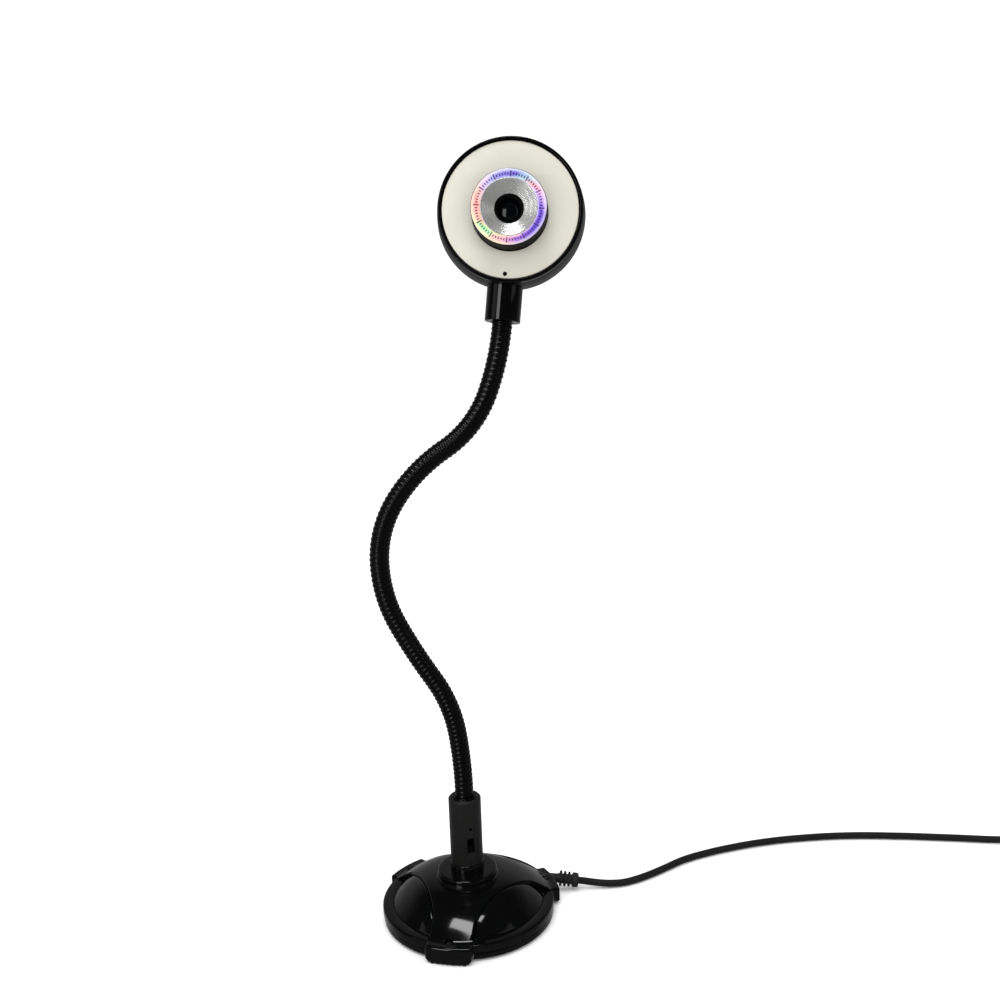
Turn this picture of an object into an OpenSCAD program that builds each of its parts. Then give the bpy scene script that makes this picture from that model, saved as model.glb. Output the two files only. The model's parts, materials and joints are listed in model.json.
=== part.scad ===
// Webcam on a bendable neck, with a weighted three-footed base and a USB lead.
// Frame: origin on the floor at the stem's axis, +Z up, the lens looks along -Y.

/* [Base] */
// Diameter of the base rim
base_d = 90; // [80:1:110]
// Height of the rim's top face
rim_top = 9; // [7:0.5:11]
// Reach of the foot tabs beyond the rim
tab_reach = 3.5; // [2:0.5:7]
// Width of a foot tab
tab_w = 23.5; // [16:0.5:28]
// Turn of the first foot tab about the stem
tab_turn = -101.5; // [-120:0.5:-90]
// Diameter of the boss that the stem stands on
boss_d = 31; // [26:0.5:34]
// Height of the boss's top face
boss_top = 25.9; // [24:0.1:30]

/* [Stem] */
// Diameter of the stem
stem_d = 16.8; // [16:0.1:18]
// Height of the stem's top
stem_top = 66; // [60:0.5:66]
// Turn of the mute switch about the stem
switch_turn = -71; // [-90:1:-50]
// Travel of the mute switch
switch_travel = 3.4; // [2:0.1:3.6]

/* [Neck] */
// Diameter of the ribbed sleeve
neck_d = 9.8; // [9:0.1:10.4]
// Length of each of the neck's eight bends
bend_l = 33.8; // [28:0.1:40]

/* [Head] */
// Diameter of the face plate
plate_d = 62.8; // [56:0.2:70]
// Depth of the housing behind the face plate
shell_depth = 27.6; // [24:0.2:32]
// Turn of the head about the vertical, positive to the left
head_yaw = -3; // [-20:0.5:20]
// Upward tilt of the head
head_tilt = 10.5; // [-10:0.5:20]
// Sideways lean of the head
head_lean = 6; // [-10:0.5:10]
// Diameter of the focus ring
focus_d = 34.6; // [32:0.2:36]
// Reach of the focus ring in front of the face plate
focus_reach = 11.6; // [10:0.2:14]
// Drop of the lens below the face plate's centre
lens_drop = 1.4; // [0:0.1:3]

/* [Lead] */
// Diameter of the USB lead
lead_d = 3.8; // [3.4:0.1:4.2]
// Diameter of the coil at the middle of its turns
coil_d = 42; // [38:1:46]

/* [Hidden] */
$fn = 96;

black = [0.06, 0.06, 0.06];
grey = [0.4, 0.4, 0.41];
silver = [0.78, 0.77, 0.74];
gap = 0.05;

base_r = base_d / 2;
tray_z = 0.9;
tray_top = 4.3;
rim_z = 4.7;
wall = 1.6;
rim_in = base_r - 5.5;
tab_top = rim_top + 1.2;
tab_r = base_r + tab_reach;
leg_r = base_r - 2.6;
boss_r = boss_d / 2;
boss_z = boss_top - 4;
stem_r = stem_d / 2;
stem_foot_r = 7.6;
stem_bore_r = 5.9;
socket_top = boss_top + 4.5;
petal_r = 110;
petal_in = 22.8;
leg_w = 21.5;
feet = [0, 1, 2];

function foot_turn(i) = tab_turn + 120 * i;

// A dome's outline from [r0, z0] out and down to [r1, z1], bulging by b, in n steps.
function dome(r0, z0, r1, z1, b, n = 10) = [
    for (i = [0 : n])
        let (t = i / n, s = b * sin(180 * t))
        [r0 + (r1 - r0) * t + s * 0.45, z0 + (z1 - z0) * t + s]
];

// A shell of revolution under a dome's outline, wall thick.
module dome_shell(line, thick) {
    back = [for (i = [len(line) - 1 : -1 : 0]) [line[i][0] - thick * 0.25, line[i][1] - thick]];
    rotate_extrude() polygon(concat(line, back));
}

module ring(outer, inner, z0, z1) {
    rotate_extrude() translate([inner, z0]) square([outer - inner, z1 - z0]);
}

// The three tabs' plan shape, with clearance c around it.
module tab_block(i, c, z0, z1) {
    rotate([0, 0, foot_turn(i)])
        translate([base_r - 7, -tab_w / 2 - c, z0])
            cube([20, tab_w + 2 * c, z1 - z0]);
}

// The plan shape of the panel between two legs, drawn in by c.
module petal(i, c) {
    rotate([0, 0, foot_turn(i) + 60])
        intersection() {
            translate([petal_in + petal_r, 0, 0]) cylinder(r = petal_r - c, h = 40, $fn = 240);
            beside_leg(1, c);
            beside_leg(-1, c);
        }
}

// All that lies on the panel's side of a leg's edge.
module beside_leg(s, c) {
    rotate([0, 0, 60 * s])
        translate([-20, s > 0 ? -leg_w / 2 - 80 - c : leg_w / 2 + c, 0])
            cube([80, 80, 40]);
}

screw_turns = [foot_turn(0) + 60, foot_turn(1) + 60, foot_turn(2) + 60];
screw_ring = 33;

module base_tray() {
    color(black)
        difference() {
            translate([0, 0, tray_z]) cylinder(r = base_r - 0.4, h = tray_top - tray_z);
            translate([0, 0, tray_z + wall]) cylinder(r = base_r - 2.2, h = 10);
            for (i = feet) tab_block(i, gap, -1, 12);
            for (a = screw_turns)
                rotate([0, 0, a]) translate([screw_ring, 0, -1]) cylinder(r = 1.7, h = 6, $fn = 32);
        }
}

module base_rim() {
    outline = [
        [rim_in - 2.5, rim_z + 1], [base_r - 2, rim_z + 1], [base_r - 2, rim_z],
        [base_r, rim_z], [base_r, rim_top - 0.9], [base_r - 0.3, rim_top - 0.3],
        [base_r - 0.9, rim_top], [rim_in, rim_top], [rim_in, rim_top - wall],
        [rim_in - 2.5, rim_top - wall]
    ];
    color(black)
        difference() {
            rotate_extrude() polygon(outline);
            for (i = feet) tab_block(i, gap, -1, 12);
        }
}

module base_cover() {
    outline = dome(9, boss_z, leg_r, tab_top, 3.2);
    color(black)
        difference() {
            dome_shell(outline, wall);
            for (i = feet) petal(i, 0);
            translate([0, 0, 10]) cylinder(r = 9.4, h = 30);
        }
}

module base_panel(i) {
    outline = dome(boss_r, boss_z - 0.3, rim_in - 0.1, rim_top + 0.1, 2.8);
    color(black)
        union() {
            intersection() {
                dome_shell(outline, wall - 0.2);
                petal(i, 0.15);
            }
            rotate([0, 0, foot_turn(i) + 60])
                translate([screw_ring, 0, tray_z + wall + 0.8])
                    cylinder(r = 2.6, h = 8.6, $fn = 32);
        }
}

module foot_tab(i) {
    bevel = 1.6;
    color(black)
        difference() {
            rotate([0, 0, foot_turn(i)]) difference() {
                intersection() {
                    ring(tab_r, leg_r + gap, 0.8, tab_top);
                    translate([base_r - 7, -tab_w / 2, 0]) cube([20, tab_w, 20]);
                }
                for (s = [-1, 1])
                    translate([0, s * tab_w / 2, 0.8])
                        rotate([45, 0, 0])
                            translate([30, -bevel / 2, -bevel / 2])
                                cube([30, bevel, bevel]);
                translate([leg_r + 0.6, 0, tab_top - 1.4]) cylinder(r = 1.5, h = 4, $fn = 48);
            }
            if (i == 1) on_gland(0) translate([0, 0, -8]) cylinder(r = gland_r + 0.2, h = 20);
        }
}

module tab_pins() {
    color(grey)
        for (i = feet)
            rotate([0, 0, foot_turn(i)])
                translate([leg_r + 0.6 + 0.25, 0, tab_top - 1.4]) cylinder(r = 0.9, h = 1.5, $fn = 32);
}

module foot_pads() {
    color([0.1, 0.1, 0.1])
        for (i = feet)
            rotate([0, 0, foot_turn(i)])
                intersection() {
                    ring(tab_r - 1, leg_r + 1, 0, 0.8);
                    translate([base_r - 7, -tab_w / 2 + 2.4, 0]) cube([20, tab_w - 4.8, 2]);
                }
}

module boss_disc() {
    outline = [
        [socket_r + gap, boss_z + 0.05], [boss_r, boss_z + 0.05], [boss_r, boss_top - 0.6],
        [boss_r - 0.6, boss_top], [socket_r + gap, boss_top]
    ];
    color(black) rotate_extrude() polygon(outline);
}

socket_r = stem_r + 0.25;
nut_top = boss_z - wall - 0.6;
socket_z = nut_top + gap;

module stem_socket() {
    outline = [
        [stem_foot_r + 0.02, socket_z], [socket_r, socket_z], [socket_r, socket_top - 0.5],
        [socket_r - 0.4, socket_top], [stem_foot_r + 0.02, socket_top]
    ];
    color(black) rotate_extrude() polygon(outline);
}

slot_z = 37.6;
slot_h = 8.5;
slot_w = 3.9;
light_z = 51;

module stem_tube() {
    outline = [
        [stem_bore_r, nut_top - 5], [stem_foot_r, nut_top - 5], [stem_foot_r, socket_top + 0.05],
        [stem_r, socket_top + 0.05], [stem_r, stem_top - 1], [stem_r - 1, stem_top],
        [bush_r + 0.02, stem_top], [bush_r + 0.02, bush_z], [stem_bore_r, bush_z]
    ];
    color([0.1, 0.1, 0.1])
        difference() {
            rotate_extrude() polygon(outline);
            rotate([0, 0, switch_turn]) {
                translate([3, -slot_w / 2, slot_z]) cube([8, slot_w, slot_h]);
                translate([3, 0, light_z]) rotate([0, 90, 0]) cylinder(r = 1, h = 8, $fn = 48);
            }
        }
}

bush_r = 6.7;
bush_z = 60;
neck_r = neck_d / 2;

module stem_bush() {
    color(black) ring(bush_r, neck_r + gap, bush_z + 0.05, stem_top + 0.6);
}

module ballast() {
    outline = [[9, 0], [29, 0], [29, 6], [21, 6], [21, 11.5], [9, 11.5]];
    color(grey)
        difference() {
            translate([0, 0, tray_z + wall]) rotate_extrude() polygon(outline);
            rotate([0, 0, foot_turn(1)]) translate([0, -3, 0]) cube([40, 6, 20]);
        }
}

module stem_nut() {
    color(silver)
        translate([0, 0, nut_top - 4])
            difference() {
                union() {
                    cylinder(r = 11.5, h = 3, $fn = 6);
                    translate([0, 0, 3]) cylinder(r = 12, h = 1);
                }
                translate([0, 0, -1]) cylinder(r = stem_foot_r + 0.02, h = 8);
            }
}

module base_screws() {
    color(silver)
        for (a = screw_turns)
            rotate([0, 0, a])
                translate([screw_ring, 0, tray_z + 0.1]) {
                    cylinder(r = 1.6, h = wall + 0.6, $fn = 32);
                }
}

knob_h = 3.6;
knob_w = 3.2;
knob_z = slot_z + 0.5;
housing_r = 5.1;

module switch_housing() {
    color([0.12, 0.12, 0.12])
        rotate([0, 0, switch_turn])
            translate([1.5, -3, slot_z - 1.4]) cube([housing_r - 1.5, 5.2, slot_h + 2.8]);
}

module switch_slider() {
    color([0.03, 0.03, 0.03])
        rotate([0, 0, switch_turn])
            difference() {
                translate([housing_r + 0.1, -knob_w / 2, knob_z]) cube([2.2, knob_w, knob_h]);
                for (k = [1 : 3])
                    translate([housing_r + 2, -3, knob_z + k * knob_h / 4 - 0.15]) cube([1, 6, 0.3]);
            }
}

module indicator_light() {
    color([0.5, 0.55, 0.52])
        rotate([0, 0, switch_turn])
            translate([0, 0, light_z]) {
                translate([4.9, 0, 0]) rotate([0, 90, 0]) cylinder(r = 0.95, h = 2.9, $fn = 48);
                translate([3.2, -1.2, -1.1]) cube([1.7, 2.4, 2.2]);
            }
}

gland_at = [43.6, 18.9, 7.2];
gland_droop = 9;
gland_neck = 5.5;
gland_l = 15.6;
gland_in = 5.2;
gland_r = 2.2;
gland_core = 2.6;
gland_rib = 4.1;
gland_end = 3.8;
rib_n = 3;
rib_step = 2.3;
rib_w = 1.1;

// Along the strain relief's axis. It leaves the second foot tab and droops a little.
module on_gland(droop) {
    translate(gland_at) rotate([0, 90 + droop, 0]) children();
}

module cable_gland() {
    ribs_end = gland_neck + rib_n * rib_step;
    outline = concat(
        [[0, -0.4], [gland_r, -0.4], [gland_r, gland_neck]],
        [
            for (k = [0 : rib_n - 1])
                let (z = gland_neck + k * rib_step, r = gland_rib - 0.1 * k)
                each [[gland_core, z], [r, z], [r, z + rib_w], [gland_core, z + rib_w]]
        ],
        [[gland_core, ribs_end], [gland_end, ribs_end], [gland_end, gland_l], [0, gland_l]]
    );
    color([0.12, 0.12, 0.12])
        union() {
            on_gland(0) translate([0, 0, -gland_in]) cylinder(r = gland_r - 0.2, h = gland_in + 0.6);
            on_gland(gland_droop) rotate_extrude() polygon(outline);
        }
}

// The neck is a chain of eight equal bends. Each turns to the side and fore and aft, in degrees.
bend_side = [-7, -24, 6.5, 25, 33.5, 24, -36, -14];
bend_fore = [-4.5, -2, -0.5, 1.5, 1.5, 4, 5, 6.5];
neck_start = 67;
neck_foot = 54;
core_r = 3.8;
sleeve_in = 3.95;
pivot_gap = 3.2;
link_gap = pivot_gap / bend_l;
seam = 0.12;

function bend_angle(k) = norm([bend_side[k], bend_fore[k]]);
function bend_turn(k) = atan2(bend_fore[k], bend_side[k]);
function bend_r(k) = bend_l / (bend_angle(k) * PI / 180);
function turn_z(a) = [[cos(a), -sin(a), 0, 0], [sin(a), cos(a), 0, 0], [0, 0, 1, 0], [0, 0, 0, 1]];
function bend_step(k) =
    let (b = bend_angle(k), r = bend_r(k))
    turn_z(bend_turn(k))
    * [[cos(b), 0, sin(b), r * (1 - cos(b))], [0, 1, 0, 0], [-sin(b), 0, cos(b), r * sin(b)], [0, 0, 0, 1]]
    * turn_z(-bend_turn(k));
function bend_frame(k) =
    k == 0
    ? [[1, 0, 0, 0], [0, 1, 0, 0], [0, 0, 1, neck_start], [0, 0, 0, 1]]
    : bend_frame(k - 1) * bend_step(k - 1);

// A stretch of bend k, between two fractions of its length, with the given radii.
module bend_tube(k, from, to, outer, inner) {
    b = bend_angle(k);
    multmatrix(bend_frame(k))
        rotate([0, 0, bend_turn(k)])
            translate([bend_r(k), 0, 0])
                rotate([90, 0, 0])
                    rotate([0, 0, 180 - b * to])
                        rotate_extrude(angle = b * (to - from))
                            translate([bend_r(k), 0])
                                difference() {
                                    circle(r = outer);
                                    circle(r = inner);
                                }
}

core_in = 1.7;

module neck_link(k) {
    color(grey)
        union() {
            if (k == 0) ring(core_r, core_in, neck_foot, neck_start - seam);
            if (k > 0) bend_tube(k - 1, 0.5 + link_gap, 1 - seam / bend_l, core_r, core_in);
            if (k < 8) bend_tube(k, 0, 0.5 - link_gap, core_r, core_in);
            if (k == 8) multmatrix(bend_frame(8)) ring(core_r, core_in, 0, collar_h - 3);
        }
}

module neck_sleeve(k) {
    color(black)
        union() {
            if (k == 1) ring(neck_r, sleeve_in, neck_foot, neck_start - seam);
            bend_tube(k - 1, 0, 1 - seam / bend_l, neck_r, sleeve_in);
            if (k == 8) multmatrix(bend_frame(8)) ring(neck_r, sleeve_in, 0, 8);
        }
}

// Head frame: origin at the face plate's centre, -Y forwards, +Z along the collar's axis.
plate_r = plate_d / 2;
shell_r = plate_r + 3.4;
shell_wide = 12.8;
collar_r = 8.35;
collar_y = 10;
collar_foot = -50.1;
collar_top = -31.2;
collar_h = collar_top - collar_foot;
focus_r = focus_d / 2;
neck_end = bend_frame(8);

module on_head() {
    translate([neck_end[0][3], neck_end[1][3], neck_end[2][3]])
        rotate([0, 0, head_yaw])
            rotate([-head_tilt, 0, 0])
                rotate([0, head_lean, 0])
                    translate([0, -collar_y, -collar_foot])
                        children();
}

// Turned about the face plate's axis. Heights are distances in front of the face plate.
module on_plate() {
    on_head() rotate([90, 0, 0]) children();
}

// The same, about the lens axis.
module on_lens() {
    on_plate() translate([0, -lens_drop, 0]) children();
}

screw_x = 27.5;
screw_floor = -18.6;

// The housing's outline behind the bezel, drawn in by c.
function shell_line(c, n = 10) = concat(
    [[plate_r + 2.1 - c, -3.1], [plate_r + 2.9 - c, -7]],
    [
        for (i = [0 : n])
            let (t = 90 * i / n)
            [(shell_r - c) * cos(t), -shell_wide - (shell_depth - shell_wide - c) * sin(t)]
    ]
);

module rear_shell() {
    color([0.15, 0.15, 0.16])
        difference() {
            union() {
                difference() {
                    on_plate() rotate_extrude() polygon(concat(shell_line(0), [[0, -3.1]]));
                    on_plate() rotate_extrude() polygon(concat([[0, -3]], [[plate_r + 0.1, -3]], shell_line(2)));
                }
                for (s = [-1, 1])
                    intersection() {
                        on_plate() translate([s * screw_x, 0, screw_floor - 6]) cylinder(r = 3.9, h = 7.6, $fn = 48);
                        on_plate() rotate_extrude() polygon(concat(shell_line(0.4), [[0, -3.1]]));
                    }
            }
            for (s = [-1, 1]) {
                on_plate() translate([s * screw_x, 0, screw_floor - 10]) cylinder(r = 2.6, h = 10, $fn = 48);
                on_plate() translate([s * screw_x, 0, screw_floor - 1]) cylinder(r = 1.35, h = 5, $fn = 48);
            }
            on_head() translate([0, collar_y, collar_foot]) cylinder(r = collar_r + gap, h = 25);
        }
}

module bezel_ring() {
    lip = plate_r + 0.1;
    outline = [
        [plate_r - 5, -3], [plate_r + 2.1, -3], [plate_r + 2.1, 0.2], [plate_r + 1.6, 0.8],
        [plate_r + 0.7, 0.8], [lip, 0.2], [lip, -1.25], [plate_r - 5, -1.25]
    ];
    color(black)
        difference() {
            union() {
                on_plate() rotate_extrude() polygon(outline);
                for (s = [-1, 1])
                    on_plate() translate([s * screw_x, 0, -16.9]) cylinder(r = 2.3, h = 15, $fn = 48);
            }
            for (s = [-1, 1])
                on_plate() translate([s * screw_x, 0, -17.9]) cylinder(r = 1.1, h = 12, $fn = 48);
            on_plate() translate([0, mic_z, -8]) cylinder(r = 1.9, h = 8, $fn = 48);
            on_head() translate([0, collar_y, collar_foot]) cylinder(r = collar_r + 0.3, h = 25);
        }
}

mic_z = -29.3;

module face_plate() {
    color(silver)
        difference() {
            on_plate() translate([0, 0, -1.2]) cylinder(r = plate_r, h = 1.2);
            on_lens() translate([0, 0, -3]) cylinder(r = focus_r + 0.3, h = 6);
            on_plate() translate([0, mic_z, -3]) cylinder(r = 1, h = 6, $fn = 48);
        }
}

module microphone() {
    color(grey) on_plate() translate([0, mic_z, -3.1]) cylinder(r = 1.6, h = 1.85, $fn = 48);
}

module case_screws() {
    color(silver)
        for (s = [-1, 1])
            on_plate()
                translate([s * screw_x, 0, screw_floor - 1.3]) {
                    cylinder(r = 2.2, h = 1.25, $fn = 48);
                    cylinder(r = 1.05, h = 9, $fn = 48);
                }
}

board_front = -12.4;
cell_r = 6.9;
mount_bore = cell_r + 0.05;

module camera_board() {
    color([0.05, 0.3, 0.15])
        difference() {
            on_plate() translate([0, 0, board_front - 1.6]) cylinder(r = 23.5, h = 1.6);
            on_head() translate([0, collar_y, collar_foot]) cylinder(r = collar_r, h = 22);
        }
    color([0.1, 0.1, 0.1])
        on_plate() {
            translate([-4, -18, board_front - 2.7]) cube([8, 8, 1.2]);
            translate([8, 6, board_front - 2.7]) cube([6, 5, 1.2]);
            translate([-20, -4, board_front - 4.6]) cube([5, 9, 3.1]);
        }
}

module image_sensor() {
    color([0.1, 0.12, 0.2]) on_lens() translate([-4.5, -4.5, board_front]) cube([9, 9, 1.3]);
}

module lens_mount() {
    color(black)
        on_lens()
            difference() {
                union() {
                    translate([-9, -9, board_front]) cube([18, 18, 3]);
                    translate([0, 0, board_front + 2]) cylinder(r = 8.6, h = 15);
                    translate([0, 0, board_front + 2]) cylinder(r = 15.6, h = 2);
                    ring(15.6, 14.2, board_front + 2, 6);
                }
                translate([-5, -5, board_front - 1]) cube([10, 10, 2.5]);
                translate([0, 0, board_front - 1]) cylinder(r = mount_bore, h = 30);
            }
}

cone_r = 12.6;
cone_in = 6.8;
cone_drop = 3.6;

module focus_barrel() {
    outline = [
        [15.9, -2.4], [focus_r, -2.4], [focus_r, focus_reach - 1.1], [focus_r - 0.5, focus_reach - 0.6],
        [cone_r + 0.3, focus_reach - 0.6], [cone_r + 0.3, focus_reach - 2.4], [15.9, focus_reach - 2.4]
    ];
    color(black) on_lens() rotate_extrude() polygon(outline);
}

module hologram_ring() {
    color([0.6, 0.7, 0.65]) on_lens() ring(focus_r - 0.5, cone_r + 0.35, focus_reach - 0.55, focus_reach);
}

module lens_cone() {
    front = focus_reach;
    outline = [
        [cone_r + 0.25, front - 2.4], [cone_r + 0.25, front], [cone_r, front],
        [cone_in, front - cone_drop], [cone_in, front - cone_drop - 0.7],
        [cone_r - 1.2, front - 2.4]
    ];
    color(silver) on_lens() rotate_extrude() polygon(outline);
}

cell_front = focus_reach - cone_drop - 1.6;
cell_back = -8.5;

module lens_cell() {
    color(black)
        on_lens()
            difference() {
                translate([0, 0, cell_back]) cylinder(r = cell_r, h = cell_front - cell_back);
                translate([0, 0, cell_front - 2.6]) cylinder(r1 = 5, r2 = 6.4, h = 2.7);
                translate([0, 0, cell_front - 4.2]) cylinder(r = 5.2, h = 2);
                translate([0, 0, cell_back - 1]) cylinder(r = 3.2, h = 20);
                translate([0, 0, cell_back - 1]) cylinder(r = 4.2, h = 3);
            }
}

module lens_glass() {
    color([0.2, 0.25, 0.35])
        on_lens() {
            intersection() {
                translate([0, 0, cell_front - 4.15]) cylinder(r = 4.9, h = 4);
                translate([0, 0, cell_front - 11.2]) sphere(r = 9.6);
            }
            translate([0, 0, cell_back + 0.3]) cylinder(r = 4.1, h = 1.6);
        }
}

module head_collar() {
    tube = collar_top - collar_foot;
    color(black)
        on_head()
            difference() {
                union() {
                    translate([0, collar_y, collar_foot]) cylinder(r = collar_r, h = tube);
                    translate([-8.8, collar_y - 3, collar_top]) cube([17.6, 6, 1]);
                }
                translate([0, collar_y, collar_foot - 1]) cylinder(r = neck_r + gap, h = tube + 3);
            }
}

// The lead's route on the floor, from the gland to the coil, chosen point by point.
lead_r = lead_d / 2;
route = [
    [59, 18.9, 4.75], [63, 18.9, 4.1], [68, 18.7, 3.3], [73, 18.6, 2.65], [78, 18.9, 2.2],
    [84, 19.8, 2], [92, 22.9, 2], [100, 27.4, 2], [109, 33.4, 2], [120, 41, 2],
    [134, 47.5, 2], [150, 53, 2], [170, 58, 2], [194, 61.2, 2], [220, 62, 2],
    [248, 59.7, 2], [276, 55.8, 2], [304, 51.5, 2], [330, 49.2, 2.1], [354, 49.1, 2.3],
    [376, 49.9, 2.5]
];
coil_at = [376, 27];
coil_w = 2 * lead_d;
coil_h = 4 * lead_d;
coil_z = 0.6;

// A point and its direction on a smooth curve through the route, at u from 0 to its last index.
function seg(p, i) = min(max(floor(i), 0), len(p) - 2);
function along(p, u) =
    let (i = seg(p, u), t = u - i, n = len(p))
    let (a = p[max(i - 1, 0)], b = p[i], c = p[i + 1], d = p[min(i + 2, n - 1)])
    0.5 * (2 * b + (c - a) * t + (2 * a - 5 * b + 4 * c - d) * t * t + (3 * b - a - 3 * c + d) * t * t * t);
function heading(p, u) =
    let (e = 0.02, v = along(p, min(u + e, len(p) - 1)) - along(p, max(u - e, 0)))
    v / norm(v);

// A round tube swept along the points, with flat ends and eight sides.
module swept(p, r, steps) {
    sides = 8;
    last = (len(p) - 1) * steps;
    points = [
        for (i = [0 : last])
            let (u = i / steps, c = along(p, u), v = heading(p, u))
            let (w = cross([0, 0, 1], v) / norm(cross([0, 0, 1], v)), up = cross(v, w))
            for (k = [0 : sides - 1])
                let (a = 360 * (k + 0.5) / sides)
                c + r * (cos(a) * w + sin(a) * up)
    ];
    faces = concat(
        [[for (k = [0 : sides - 1]) k]],
        [
            for (i = [0 : last - 1], k = [0 : sides - 1])
                let (a = i * sides + k, b = i * sides + (k + 1) % sides)
                [a, a + sides, b + sides, b]
        ],
        [[for (k = [sides - 1 : -1 : 0]) last * sides + k]]
    );
    polyhedron(points = points, faces = faces, convexity = 10);
}

module lead_run() {
    color(black) swept(route, lead_r, 3);
}

module lead_coil() {
    color(black)
        translate([coil_at[0], coil_at[1], coil_z])
            ring(coil_d / 2 + coil_w / 2, coil_d / 2 - coil_w / 2, 0, coil_h);
}

tie_w = 4;
tie_t = 0.5;

module coil_tie() {
    slack = 0.6;
    color([0.1, 0.1, 0.1])
        translate([coil_at[0], coil_at[1], 0])
            rotate([0, 0, -135])
                translate([coil_d / 2 - coil_w / 2 - slack, -tie_w / 2, 0])
                    difference() {
                        translate([-tie_t, 0, 0])
                            cube([coil_w + 2 * slack + 2 * tie_t, tie_w, coil_h + coil_z + 0.1 + tie_t]);
                        translate([0, -1, tie_t])
                            cube([coil_w + 2 * slack, tie_w + 2, coil_h + 0.2]);
                    }
}

// The last stretch, from the top of the coil down to the plug on the floor.
tail_route = [
    [398.9, 27, 13.9], [399.2, 17, 13.4], [400, 5, 11], [401, -7, 7.6], [402, -19, 4.8],
    [402, -31, 4], [402, -43, 4]
];
plug_at = [402, -41, 4];
plug_w = 15.6;
plug_h = 7.8;
plug_l = 24;
plug_nose = 9;
usb_w = 12;
usb_h = 4.5;
usb_l = 18.5;

module lead_tail() {
    color(black) swept(tail_route, lead_r, 2);
}

// Plug frame: its nose at the lead, its mouth towards -Y.
module on_plug() {
    translate(plug_at) rotate([90, 0, 0]) children();
}

module plug_body() {
    color(black)
        on_plug()
            difference() {
                union() {
                    cylinder(r1 = 2.5, r2 = 3.4, h = plug_nose);
                    translate([-plug_w / 2, -plug_h / 2, plug_nose]) cube([plug_w, plug_h, plug_l]);
                }
                translate([0, 0, -1]) cylinder(r = lead_r, h = 8);
                translate([-usb_w / 2, -usb_h / 2, plug_nose + plug_l - 6]) cube([usb_w, usb_h, 10]);
            }
}

module plug_shell() {
    sheet = 0.35;
    mouth = plug_nose + plug_l + usb_l;
    color(silver)
        on_plug()
            difference() {
                translate([-usb_w / 2, -usb_h / 2, plug_nose + plug_l - 6]) cube([usb_w, usb_h, usb_l + 6]);
                translate([-usb_w / 2 + sheet, -usb_h / 2 + sheet, plug_nose + plug_l - 5])
                    cube([usb_w - 2 * sheet, usb_h - 2 * sheet, usb_l + 6]);
                for (x = [-4, 1.6], y = [-3, 1])
                    translate([x, y, mouth - 9]) cube([2.4, 2, 2.4]);
            }
}

module plug_tongue() {
    color([0.9, 0.9, 0.9])
        on_plug()
            translate([-usb_w / 2 + 0.4, -0.2, plug_nose + plug_l - 4.9])
                cube([usb_w - 0.8, 1.8, usb_l + 4]);
}

base_tray();
base_rim();
base_cover();
base_panel(0);  // base_panel_1
base_panel(1);  // base_panel_2
base_panel(2);  // base_panel_3
foot_tab(0);  // foot_tab_1
foot_tab(1);  // foot_tab_2
foot_tab(2);  // foot_tab_3
tab_pins();
foot_pads();
boss_disc();
stem_socket();
stem_tube();
stem_bush();
ballast();
stem_nut();
base_screws();
switch_housing();
switch_slider();
indicator_light();
cable_gland();
neck_link(0);  // neck_link_0
neck_link(1);  // neck_link_1
neck_link(2);  // neck_link_2
neck_link(3);  // neck_link_3
neck_link(4);  // neck_link_4
neck_link(5);  // neck_link_5
neck_link(6);  // neck_link_6
neck_link(7);  // neck_link_7
neck_link(8);  // neck_link_8
neck_sleeve(1);  // neck_sleeve_1
neck_sleeve(2);  // neck_sleeve_2
neck_sleeve(3);  // neck_sleeve_3
neck_sleeve(4);  // neck_sleeve_4
neck_sleeve(5);  // neck_sleeve_5
neck_sleeve(6);  // neck_sleeve_6
neck_sleeve(7);  // neck_sleeve_7
neck_sleeve(8);  // neck_sleeve_8
head_collar();
rear_shell();
bezel_ring();
face_plate();
lens_mount();
camera_board();
image_sensor();
microphone();
case_screws();
focus_barrel();
hologram_ring();
lens_cone();
lens_cell();
lens_glass();
lead_run();
lead_coil();
lead_tail();
coil_tie();
plug_body();
plug_shell();
plug_tongue();
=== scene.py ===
"""The webcam's looks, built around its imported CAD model."""
import json
import math
from contextlib import contextmanager
from itertools import groupby

import bmesh
import bpy
import numpy as np
from mathutils import Matrix, Vector


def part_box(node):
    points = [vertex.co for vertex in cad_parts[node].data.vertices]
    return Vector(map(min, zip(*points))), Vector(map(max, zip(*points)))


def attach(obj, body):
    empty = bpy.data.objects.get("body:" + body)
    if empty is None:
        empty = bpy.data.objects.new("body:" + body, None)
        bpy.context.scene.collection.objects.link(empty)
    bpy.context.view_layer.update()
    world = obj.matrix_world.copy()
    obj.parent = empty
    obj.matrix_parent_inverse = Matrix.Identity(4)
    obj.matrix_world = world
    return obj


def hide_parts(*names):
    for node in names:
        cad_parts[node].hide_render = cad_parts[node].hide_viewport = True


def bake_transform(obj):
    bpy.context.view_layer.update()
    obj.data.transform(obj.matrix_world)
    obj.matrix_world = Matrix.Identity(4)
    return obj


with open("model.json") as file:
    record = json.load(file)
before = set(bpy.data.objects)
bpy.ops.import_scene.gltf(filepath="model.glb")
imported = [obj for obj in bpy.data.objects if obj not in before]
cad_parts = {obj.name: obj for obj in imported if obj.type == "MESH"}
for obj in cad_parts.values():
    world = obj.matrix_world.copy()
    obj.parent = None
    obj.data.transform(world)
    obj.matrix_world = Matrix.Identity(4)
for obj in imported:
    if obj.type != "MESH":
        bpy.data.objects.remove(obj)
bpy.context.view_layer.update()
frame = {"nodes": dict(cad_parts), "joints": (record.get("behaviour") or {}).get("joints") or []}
MM = 0.001


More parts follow.
